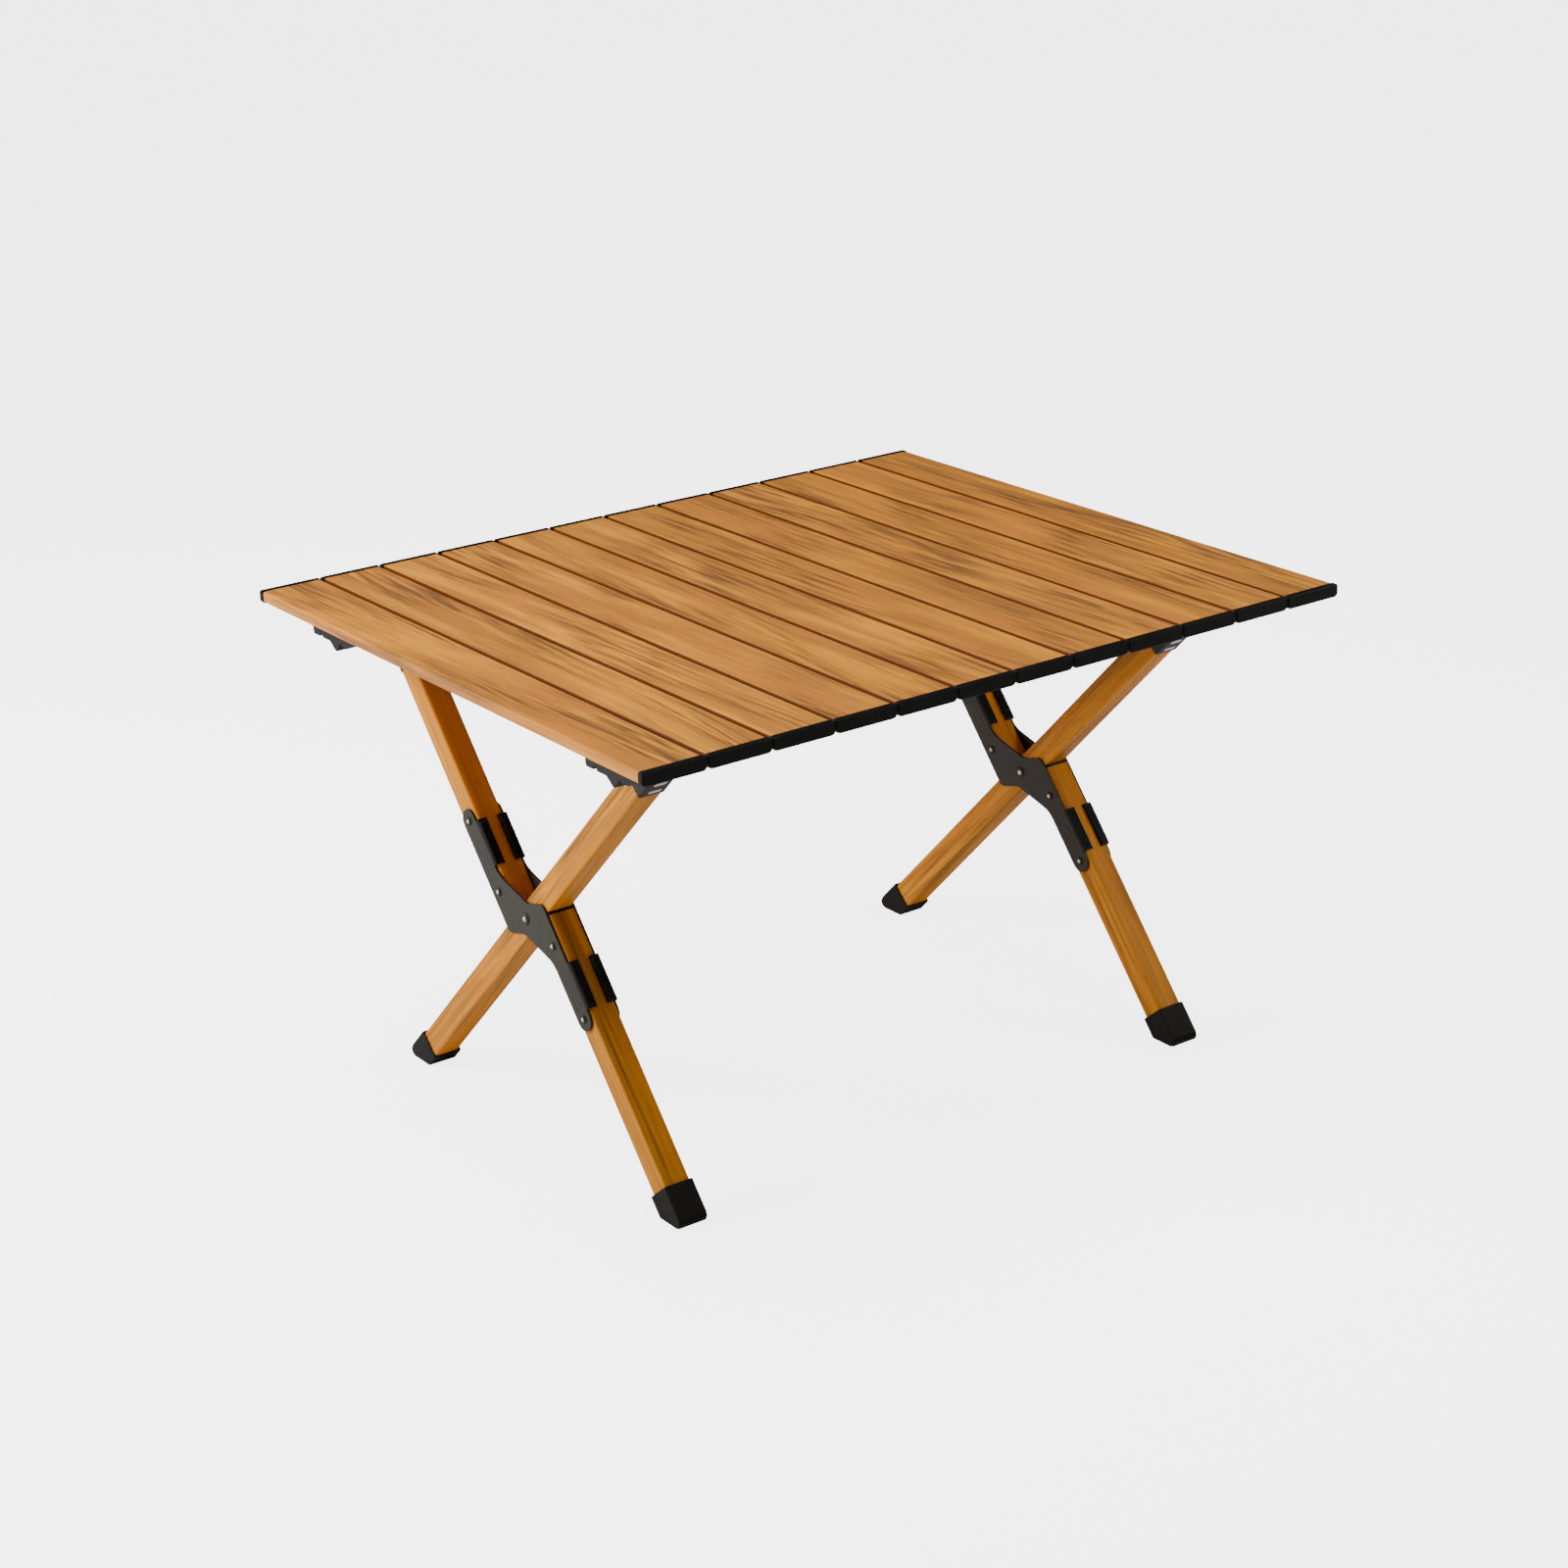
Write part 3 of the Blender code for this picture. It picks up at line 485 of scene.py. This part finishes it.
# EDGE_SPAN is the cosine between a face and its bevelled edge, from unworn to fully worn. The RUBBED values
# are of the patches in which the wear shows
EDGE_SPAN = (0.995, 0.90)
RUBBED_SCALE = 160.0
RUBBED_DETAIL = 4.0
RUBBED_ROUGHNESS = 0.7
RUBBED_SPAN = (0.40, 0.66)


def make_edge_wear():
    """A mask of outer edges, rubbed unevenly. Width is in metres."""
    graph, given, result = new_group(
        "edge_wear",
        (("Place", "vector"), ("Width", "value"), ("Amount", "value")),
        (("Mask", "value"),),
    )
    bevel = graph.node("ShaderNodeBevel", {"Radius": given["Width"]}, samples=6)
    face = graph.node("ShaderNodeNewGeometry")
    normals = {0: bevel.outputs["Normal"], 1: face.outputs["Normal"]}
    turn = graph.node("ShaderNodeVectorMath", normals, operation="DOT_PRODUCT")
    edge = graph.remap(turn.outputs["Value"], *EDGE_SPAN)
    patches = graph.noise(given["Place"], RUBBED_SCALE, RUBBED_DETAIL, RUBBED_ROUGHNESS)
    worn = graph.math("MULTIPLY", edge, graph.remap(patches, *RUBBED_SPAN))
    graph.feed(result, {"Mask": graph.math("MULTIPLY", worn, given["Amount"], clamp=True)})
    return graph.tree


WOOD_PRINT = make_wood_print()
FINE_TEXTURE = make_fine_texture()
EDGE_WEAR = make_edge_wear()


# Finishes

# Colours are linear. closeness is how close together the grain's marks are along the fibres, and shine is
# the shader's specular level
TEAK = {
    "light": (0.95, 0.372, 0.034), "middle": (0.60, 0.228, 0.038), "dark": (0.200, 0.090, 0.034),
    "orange": (0.69, 0.240, 0.036), "roughness": 0.50, "shine": 0.12, "closeness": 0.70,
}
LEG_TEAK = {
    "light": (0.78, 0.295, 0.014), "middle": (0.60, 0.214, 0.008), "dark": (0.230, 0.088, 0.012),
    "orange": (0.69, 0.243, 0.009), "roughness": 0.48, "shine": 0.10, "closeness": 0.40,
}
# Painted shade: the colour painted on the slats' sides inside the gaps, where shade falls between slats,
# and the span of their sideways turn over which it comes in
PAINTED_GAP_SHADE = (0.125, 0.031, 0.002)
GAP_SHADE_SPAN = (0.34, 0.62)
LACQUER_WEIGHT = 0.03
LACQUER_ROUGHNESS = 0.30
PORE_BUMP = 0.12
PORE_DEPTH = 0.00006


def wood_finish(name, wood, figure, turn, board, shade=None):
    """Printed grain under satin lacquer.

    turn lays the piece's length along the grain's Y. board(graph, place) gives the number of the board that
    a place belongs to, and shade(graph, place) masks where painted shade darkens the colour, in the gaps
    between slats.
    """
    material, graph, shader = new_material(name)
    place = graph.place()
    turned_place = graph.node("ShaderNodeMapping", {"Vector": place, "Rotation": turn}).outputs[0]
    grain = graph.group(WOOD_PRINT, {
        "Place": graph.vector_math("MULTIPLY", turned_place, (1.0, wood["closeness"], 1.0)),
        "Board": board(graph, place),
        "Light": wood["light"],
        "Middle": wood["middle"],
        "Dark": wood["dark"],
        "Orange": wood["orange"],
        "Figure": figure,
    }).outputs
    base = grain["Color"]
    # Painted shade darkens the slats' sides in the gaps between them
    if shade is not None:
        base = graph.mix(shade(graph, place), base, PAINTED_GAP_SHADE)
    graph.feed(shader, {
        "Base Color": base,
        "Roughness": graph.math("ADD", grain["Gloss"], wood["roughness"]),
        "Normal": graph.bump(graph.math("SUBTRACT", 1.0, grain["Pores"]), PORE_BUMP, PORE_DEPTH),
        "Coat Weight": LACQUER_WEIGHT,
        "Coat Roughness": LACQUER_ROUGHNESS,
        "Specular IOR Level": wood["shine"],
    })
    return material


def slat_number(graph, place):
    """The count of whole slat widths from the left edge, the same for all places on a slat."""
    from_edge = graph.math("SUBTRACT", graph.axis(place, "X"), TOP_LEFT_EDGE)
    return graph.math("FLOOR", graph.math("DIVIDE", from_edge, SLAT_PITCH))


def side_number(offset):
    """A board number for the table's left half and one for its right, moved on by a finish's own offset."""
    def number(graph, place):
        return graph.math("ADD", graph.math("SIGN", graph.axis(place, "X")), offset)
    return number


def slat_gap_shade_mask(graph, place):
    """Painted shade: a mask of the slats' sides that face a gap, so not the two outer sides of the whole
    top, coloured dark where shade falls between slats.
    """
    normal = graph.node("ShaderNodeTexCoord").outputs["Normal"]
    sideways = graph.math("ABSOLUTE", graph.axis(normal, "X"))
    from_middle = graph.math("ABSOLUTE", graph.axis(place, "X"))
    inner = graph.math("LESS_THAN", from_middle, -TOP_LEFT_EDGE - SLAT_PITCH / 2)
    return graph.math("MULTIPLY", graph.remap(sideways, *GAP_SHADE_SPAN), inner, clamp=True)


# Plastics and coated steel are clouded, and rubbed at their edges, in colours (times, plus) the plain one
CLOUD_SPAN = (0.35, 0.7)
ROUGH_SPAN = (0.3, 0.7)
PLASTIC_CLOUDED = (1.35, 0.002)
PLASTIC_RUBBED = (3.2, 0.012)
PLASTIC_EDGE = 0.0007
PLASTIC_SHINE = 0.14
PLASTIC_ROUGH_SWING = 0.06
PLASTIC_BUMP_SHARE = 0.25
STEEL_CLOUDED = (1.25, 0.0)
STEEL_RUBBED = (2.6, 0.03)
STEEL_EDGE = 0.0005
STEEL_WEAR = 0.7
STEEL_GRAIN = 0.0009
STEEL_BUMP = 0.35
STEEL_BUMP_DEPTH = 0.00012
STEEL_ROUGH_SWING = (-0.05, 0.07)
STEEL_METALLIC = 0.10
STEEL_SHINE = 0.25


def paler(color, times, plus):
    return tuple(channel * times + plus for channel in color)


def worn_base(graph, colors, grain, edge, wear):
    """The colour of a surface from its (plain, clouded, rubbed) colors, and its fine texture's outputs."""
    plain, clouded, rubbed = colors
    place = graph.place()
    texture = graph.group(FINE_TEXTURE, {"Place": place, "Grain": grain}).outputs
    edges = graph.group(EDGE_WEAR, {"Place": place, "Width": edge, "Amount": wear}).outputs
    base = graph.mix(graph.remap(texture["Cloud"], *CLOUD_SPAN), plain, clouded)
    return graph.mix(edges["Mask"], base, rubbed), texture


def plastic_finish(name, color, roughness, grain, grain_strength, wear):
    """Moulded plastic with a fine spark texture and paler rubbed edges."""
    material, graph, shader = new_material(name)
    colors = (color, paler(color, *PLASTIC_CLOUDED), paler(color, *PLASTIC_RUBBED))
    base, texture = worn_base(graph, colors, grain, PLASTIC_EDGE, wear)
    low, high = roughness - PLASTIC_ROUGH_SWING, roughness + PLASTIC_ROUGH_SWING
    graph.feed(shader, {
        "Base Color": base,
        "Roughness": graph.remap(texture["Cloud"], *ROUGH_SPAN, low, high),
        "Normal": graph.bump(texture["Height"], grain_strength, grain * PLASTIC_BUMP_SHARE),
        "Specular IOR Level": PLASTIC_SHINE,
    })
    return material


def coated_steel_finish(name, color, roughness):
    """Dark powder coat with an orange-peel surface, rubbed to grey along its edges."""
    material, graph, shader = new_material(name)
    colors = (color, paler(color, *STEEL_CLOUDED), paler(color, *STEEL_RUBBED))
    base, texture = worn_base(graph, colors, STEEL_GRAIN, STEEL_EDGE, STEEL_WEAR)
    low, high = (roughness + swing for swing in STEEL_ROUGH_SWING)
    graph.feed(shader, {
        "Base Color": base,
        "Roughness": graph.remap(texture["Cloud"], *ROUGH_SPAN, low, high),
        "Normal": graph.bump(texture["Height"], STEEL_BUMP, STEEL_BUMP_DEPTH),
        "Metallic": STEEL_METALLIC,
        "Specular IOR Level": STEEL_SHINE,
    })
    return material


BRIGHT_STEEL_TONES = ((0.50, 0.49, 0.46), (0.72, 0.71, 0.68))
BRIGHT_STEEL_GRAIN = 0.0005
BRIGHT_STEEL_ROUGHNESS = (0.26, 0.38)
BRIGHT_STEEL_BUMP = 0.15
BRIGHT_STEEL_BUMP_DEPTH = 0.00003


def bright_steel_finish():
    """Zinc-bright rivet steel, faintly uneven."""
    material, graph, shader = new_material("rivet_bright_steel")
    texture = graph.group(FINE_TEXTURE, {"Place": graph.place(), "Grain": BRIGHT_STEEL_GRAIN}).outputs
    graph.feed(shader, {
        "Base Color": graph.mix(texture["Cloud"], *BRIGHT_STEEL_TONES),
        "Roughness": graph.remap(texture["Height"], *ROUGH_SPAN, *BRIGHT_STEEL_ROUGHNESS),
        "Normal": graph.bump(texture["Height"], BRIGHT_STEEL_BUMP, BRIGHT_STEEL_BUMP_DEPTH),
        "Metallic": 1.0,
    })
    return material


CORD_TONES = ((0.010, 0.009, 0.008), (0.050, 0.047, 0.043))
THREAD_SCALE = 420.0
THREAD_WANDER = 1.5
THREAD_BUMP = 0.6
THREAD_DEPTH = 0.0002
CORD_ROUGHNESS = 0.8


def cord_finish():
    """Braided elastic: dark threads wound round the cord on a slant."""
    material, graph, shader = new_material("elastic_braid")
    threads = graph.node("ShaderNodeTexWave", {
        "Vector": graph.place(), "Scale": THREAD_SCALE, "Distortion": THREAD_WANDER, "Detail": 1.0,
    }, wave_type="BANDS", bands_direction="DIAGONAL").outputs["Fac"]
    graph.feed(shader, {
        "Base Color": graph.mix(threads, *CORD_TONES),
        "Roughness": CORD_ROUGHNESS,
        "Normal": graph.bump(threads, THREAD_BUMP, THREAD_DEPTH),
    })
    return material


LONG_LEG_TURN = (-LONG_LEG_SLOPE, 0, 0)
HALF_LEG_TURN = (-HALF_LEG_SLOPE, 0, 0)
RAIL_TURN = (0, 0, pi / 2)

# Wood: name, tones, figure, turn, board number, painted gap shade. Plastic: name, colour, roughness, grain
# in metres, the grain's strength, wear. Coated steel: name, colour, roughness
FINISHES = {
    "slat": wood_finish("slat_wood_print_and_gap_shade", TEAK, 1.00, (0, 0, 0), slat_number, slat_gap_shade_mask),
    "long_leg": wood_finish("long_leg_wood_print", LEG_TEAK, 0.95, LONG_LEG_TURN, side_number(20)),
    "half_leg": wood_finish("half_leg_wood_print", LEG_TEAK, 0.95, HALF_LEG_TURN, side_number(30)),
    "rail": wood_finish("rail_wood_print", LEG_TEAK, 0.80, RAIL_TURN, side_number(40)),
    "cap": plastic_finish("cap_black_plastic", (0.0030, 0.0024, 0.0018), 0.52, 0.0004, 0.25, 0.25),
    "boot": plastic_finish("boot_black_plastic", (0.0045, 0.0037, 0.0026), 0.52, 0.0005, 0.35, 0.40),
    "guard": plastic_finish("guard_black_plastic", (0.0036, 0.0030, 0.0024), 0.50, 0.0004, 0.20, 0.25),
    "sleeve": plastic_finish("sleeve_grey_plastic", (0.024, 0.022, 0.022), 0.50, 0.0004, 0.20, 0.30),
    "plate": coated_steel_finish("plate_grey_coat", (0.026, 0.022, 0.016), 0.52),
    "bracket": coated_steel_finish("bracket_grey_coat", (0.0075, 0.0068, 0.0060), 0.55),
    "bright": bright_steel_finish(),
    "cord": cord_finish(),
}

# The finish of each solid, by the start of its node's name. The first start that fits holds
NODE_FINISHES = (
    ("slat_cap_", "cap"),
    ("slat_", "slat"),
    ("long_leg_foot_", "boot"),
    ("half_leg_foot_", "boot"),
    ("long_leg_", "long_leg"),
    ("upper_half_leg_", "half_leg"),
    ("lower_half_leg_", "half_leg"),
    ("joint_plate_", "plate"),
    ("corner_bracket_", "bracket"),
    ("rail_link_", "bracket"),
    ("half_rail_", "rail"),
)


def dress_nodes():
    for name, node in frame["nodes"].items():
        finish = next(finish for start, finish in NODE_FINISHES if name.startswith(start))
        node.data.materials.clear()
        node.data.materials.append(FINISHES[finish])


# Pieces on the trestles

def rivet_collar(head_radius, to_face):
    rim = head_radius + COLLAR_RIM
    profile = [(PLATE_OUTSIDE + RIVET_HEAD_HEIGHT * rise, rim * share) for rise, share in COLLAR_WALL]
    profile += [(HEAD_TOP + COLLAR_LIP_RISE, rim * share) for share in COLLAR_LIP_SHARES]
    profile.append((HEAD_TOP + HAIR, rim * COLLAR_FLOOR_SHARE))
    return turned(profile, to_face)


def rivet_dome(radius, to_face):
    profile = [(HEAD_TOP - DOME_SINK, radius)]
    for step in range(DOME_STEPS):
        rise = pi / 2 * step / DOME_STEPS
        profile.append((HEAD_TOP + DOME_HEIGHT * sin(rise), radius * cos(rise)))
    profile.append((HEAD_TOP + DOME_HEIGHT, radius * DOME_TIP_SHARE))
    return turned(profile, to_face)


def add_rivet_dressings():
    """A dark collar over each rivet head of the joint plates, and a bright dome in its middle."""
    heads = [
        (way * LEG_STEP, way * along, RIVET_HEAD_RADIUS, DOME_RADIUS)
        for way in (1, -1) for along in (MID_RIVET_AT, END_RIVET_AT)
    ]
    heads.append((0.0, 0.0, MIDDLE_HEAD_RADIUS, MIDDLE_DOME_RADIUS))
    for side, face, way, legs in plate_faces():
        body = f"plated_leg_{side}"
        for number, (across, along, head_radius, dome_radius) in enumerate(heads, 1):
            to_face = legs @ Matrix.Translation((0, across, along)) @ Matrix.Rotation(way * pi / 2, 4, "Y")
            name = f"{face}_{side}_{number}"
            collar = rivet_collar(head_radius, to_face)
            mesh_piece(f"rivet_collar_{name}", collar, FINISHES["plate"], body)
            dome = rivet_dome(dome_radius, to_face)
            mesh_piece(f"rivet_dome_{name}", dome, FINISHES["bright"], body)


def add_plate_beads():
    """Two long pressed beads on each arm of a joint plate, between its rivets."""
    low = MID_RIVET_AT + PLATE_BEAD_FROM_MID_RIVET
    high = END_RIVET_AT - PLATE_BEAD_FROM_END_RIVET
    for side, face, way, legs in plate_faces():
        shape = bmesh.new()
        for arm in (1, -1):
            for shift in (-PLATE_BEAD_SHIFT, PLATE_BEAD_SHIFT):
                to_face = legs @ Matrix((
                    (0, 0, way, way * (PLATE_OUTSIDE - SINK)),
                    (1, 0, 0, arm * LEG_STEP + shift),
                    (0, arm, 0, 0),
                    (0, 0, 0, 1),
                ))
                add_bead(shape, to_face, low, high, PLATE_BEAD_HALF_WIDTH, PLATE_BEAD_HEIGHT)
        name = f"plate_beads_{face}_{side}"
        mesh_piece(name, shape, FINISHES["plate"], f"plated_leg_{side}")


def add_tab_guards():
    """A ribbed black guard over each folded tab of the joint plates."""
    tip = PLATE_INSIDE - TAB_DEPTH - GUARD_LAP
    root = PLATE_OUTSIDE + GUARD_LAP / 2
    hook = tip + GUARD_TIP_WALL
    arms = (("upper", LEG_STEP, TAB_AT), ("lower", -LEG_STEP, -TAB_AT - TAB_LENGTH))
    for side, face, way, legs in plate_faces():
        for arm, middle, tab_low in arms:
            under = middle - LEG_HALF - TOUCH_GAP
            over = under - TAB_THICKNESS
            skin = over - GUARD_THICKNESS
            outline = (
                (root, over + GUARD_CHEEK),
                (root, skin + GUARD_ROOT_CHAMFER),
                (root - GUARD_ROOT_CHAMFER, skin),
                (tip + GUARD_TIP_CHAMFER, skin),
                (tip, skin + GUARD_TIP_CHAMFER),
                (tip, under - SINK),
                (hook, under - SINK),
                (hook, over - HAIR),
                (PLATE_OUTSIDE + HAIR, over - HAIR),
                (PLATE_OUTSIDE + HAIR, over + GUARD_CHEEK),
            )
            low, high = tab_low - GUARD_LAP, tab_low + TAB_LENGTH + GUARD_LAP
            shape = ringed([
                [legs @ Vector((way * x, across, along)) for x, across in outline] for along in (low, high)
            ])
            for rib in range(GUARD_RIBS):
                to_skin = legs @ Matrix((
                    (way, 0, 0, way * (tip + GUARD_RIB_FROM_TIP + rib * GUARD_RIB_PITCH)),
                    (0, 0, -1, skin + SINK),
                    (0, 1, 0, 0),
                    (0, 0, 0, 1),
                ))
                rib_low, rib_high = low + GUARD_RIB_FROM_END, high - GUARD_RIB_FROM_END
                add_bead(shape, to_skin, rib_low, rib_high, GUARD_RIB_HALF_WIDTH, GUARD_RIB_HEIGHT)
            name = f"tab_guard_{arm}_{face}_{side}"
            mesh_piece(name, shape, FINISHES["guard"], f"plated_leg_{side}")


def add_butt_plugs():
    """A black plug in each half leg's inner end, its lip a wedge that fills the space to the long leg."""
    between = LONG_LEG_SLOPE - HALF_LEG_SLOPE
    lip = LEG_HALF - PLUG_INSET

    def long_leg_at(across, clearance):
        """The place along the half leg that is a clearance away from the long leg's side."""
        return (LEG_HALF + clearance - across * cos(between)) / sin(between)

    start = long_leg_at(LEG_STEP - LEG_HALF, BUTT_GAP) - HAIR
    for side in SIDES:
        legs = leg_frame(side, HALF_LEG_SLOPE)
        for arm, way in (("upper", 1), ("lower", -1)):
            near, far = [], []
            for x, shift in rounded_rectangle(lip, lip, LEG_EDGE_RADIUS):
                across = LEG_STEP + shift
                near.append(legs @ Vector((x, way * across, way * start)))
                far.append(legs @ Vector((x, way * across, way * long_leg_at(across, PLUG_CLEARANCE))))
            plug = ringed([near, far])
            name = f"butt_plug_{arm}_{side}"
            mesh_piece(name, plug, FINISHES["guard"], f"plated_leg_{side}")


def leg_sleeve(place, low, high):
    """A cup over a leg's top: up its inside, down round its lower edge, and up its outside to the crown."""
    inner = LEG_HALF + SLEEVE_CLEARANCE
    side, face = LEG_HALF + SLEEVE_SIDE_WALL, LEG_HALF + SLEEVE_WALL
    levels = (
        (high + SLEEVE_ROOM, inner, inner, LEG_EDGE_RADIUS),
        (low, inner, inner, LEG_EDGE_RADIUS),
        (low, side, face, SLEEVE_EDGE_RADIUS),
        (high + SLEEVE_SHOULDER, side, face, SLEEVE_EDGE_RADIUS),
        (high + SLEEVE_CROWN, side - CROWN_SIDE_INSET, face - CROWN_INSET, LEG_EDGE_RADIUS),
    )
    return ringed([
        [place @ Vector((u, v, along)) for u, v in rounded_rectangle(half_x, half_across, radius)]
        for along, half_x, half_across, radius in levels
    ])


def sleeve_slot(place, along, under):
    """A slot in the sleeve's face on the leg's under side, with bright metal in it."""
    outline = rounded_rectangle(SLOT_LENGTH / 2, SLOT_WIDTH / 2, SLOT_WIDTH / 2 * SLOT_ENDS_SHARE)
    face = LEG_HALF + SLEEVE_WALL
    levels = ((face - SLOT_DEPTH, 1.0), (face + SLOT_EDGE_RISE, 1.0), (face + SLOT_RISE, SLOT_FACE_SHARE))
    return ringed([
        [place @ Vector((u * size, under * level, along + v * size)) for u, v in outline]
        for level, size in levels
    ])


def add_leg_sleeves():
    """A grey sleeve round each leg's top, with two slots on its under side."""
    for side in SIDES:
        for leg, slope, across, pin_at, under, body in (
            ("long_leg", LONG_LEG_SLOPE, 0.0, LEG_REACH, -1, f"crossing_leg_{side}"),
            ("half_leg", HALF_LEG_SLOPE, LEG_STEP, HALF_LEG_PIN_AT, 1, f"plated_leg_{side}"),
        ):
            place = leg_frame(side, slope) @ Matrix.Translation((0, across, 0))
            low, high = pin_at - SLEEVE_BELOW_PIN[leg], pin_at + LEG_PAST_PIN
            sleeve = leg_sleeve(place, low, high)
            mesh_piece(f"top_sleeve_{leg}_{side}", sleeve, FINISHES["sleeve"], body)
            for number, from_low_end in enumerate(SLOTS_FROM_LOW_END, 1):
                slot = sleeve_slot(place, low + from_low_end, under)
                name = f"sleeve_slot_{leg}_{side}_{number}"
                mesh_piece(name, slot, FINISHES["bright"], body)


# Pieces in the top

def cord_bridge(middle, y, height):
    """A short, slightly sagging piece of round cord across one gap."""
    rings = []
    for step in range(CORD_STEPS + 1):
        share = 2 * step / CORD_STEPS - 1
        x = middle + CORD_BRIDGE_REACH * share
        z = height - CORD_SAG * cos(pi / 2 * share)
        rings.append([(x, y + u, z + v) for u, v in circle(CORD_RADIUS, CORD_SIDES)])
    return ringed(rings)


def add_cord_bridges():
    """The elastic cords that string the slats together show only where they cross the gaps."""
    slat_low, slat_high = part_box("slat_06")
    height = (slat_low.z + slat_high.z) / 2
    for gap in range(1, SLAT_COUNT):
        middle = TOP_LEFT_EDGE + gap * SLAT_PITCH
        for end, way in (("back", 1), ("front", -1)):
            y = way * (slat_high.y - CORD_INSET)
            bridge = cord_bridge(middle, y, height)
            piece = mesh_piece(f"cord_bridge_{end}_{gap:02d}", bridge, FINISHES["cord"])
            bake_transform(piece)


# Stage

def floor_finish():
    """A pale matt floor that looks the same shade to the camera far and near."""
    material, graph, shader = new_material("stage_floor")
    graph.feed(shader, {
        "Base Color": graph.mix(graph.noise(graph.place(), scale=2.0, detail=2.0), *FLOOR_TONES),
        "Roughness": 0.9,
        "Specular IOR Level": 0.1,
        "Emission Color": graph.mix(graph.seen_by_camera(), BLACK, WHITE),
        "Emission Strength": FLOOR_GLOW,
    })
    return material


def add_floor():
    shape = bmesh.new()
    corners = ((-1, -1), (1, -1), (1, 1), (-1, 1))
    shape.faces.new([shape.verts.new((x * FLOOR_REACH, y * FLOOR_REACH, -FLOOR_DROP)) for x, y in corners])
    floor = mesh_piece("stage_floor", shape, floor_finish())


def add_studio_air():
    """Weak light from all round, which looks as pale as the floor where the camera sees past it."""
    world = bpy.data.worlds.new("studio_air")
    world.use_nodes = True
    graph = Graph(world.node_tree)
    graph.feed(world.node_tree.nodes["Background"], {
        "Color": WHITE,
        "Strength": graph.remap(graph.seen_by_camera(), 0.0, 1.0, AIR_LIGHT, AIR_GLOW),
    })
    bpy.context.scene.world = world


def add_lights():
    """A low key light at the back left, a soft one above, a fill in front and a faint glow at the right."""
    for name, place, size, power in LIGHTS:
        light = bpy.data.lights.new(name, "AREA")
        light.shape = "SQUARE"
        light.size = size
        light.energy = power
        lamp = bpy.data.objects.new(name, light)
        bpy.context.scene.collection.objects.link(lamp)
        lamp.location = place
        lamp.visible_camera = False
        lamp.rotation_euler = (Vector(LIT_SPOT) - Vector(place)).to_track_quat("-Z", "Y").to_euler()


def add_camera():
    """The camera where the photograph was taken from."""
    forward = Vector((
        sin(CAMERA_YAW) * cos(CAMERA_PITCH), cos(CAMERA_YAW) * cos(CAMERA_PITCH), -sin(CAMERA_PITCH),
    ))
    level_right = Vector((cos(CAMERA_YAW), -sin(CAMERA_YAW), 0.0))
    level_up = level_right.cross(forward)
    right = level_right * cos(CAMERA_ROLL) + level_up * sin(CAMERA_ROLL)
    up = level_up * cos(CAMERA_ROLL) - level_right * sin(CAMERA_ROLL)
    camera = bpy.data.cameras.new("camera")
    camera.sensor_width = SENSOR_MILLIMETRES
    camera.lens = FOCAL_LENGTH_PIXELS / IMAGE_SIZE * SENSOR_MILLIMETRES
    camera.clip_start = CAMERA_NEAR
    camera.clip_end = CAMERA_FAR
    holder = bpy.data.objects.new("camera", camera)
    bpy.context.scene.collection.objects.link(holder)
    turn = Matrix((right, up, -forward)).transposed().to_4x4()
    holder.matrix_world = Matrix.Translation(CAMERA_PLACE) @ turn
    bpy.context.scene.camera = holder


def main():
    dress_nodes()
    add_rivet_dressings()
    add_plate_beads()
    add_tab_guards()
    add_butt_plugs()
    add_leg_sleeves()
    add_cord_bridges()
    add_floor()
    add_studio_air()
    add_lights()
    add_camera()


main()
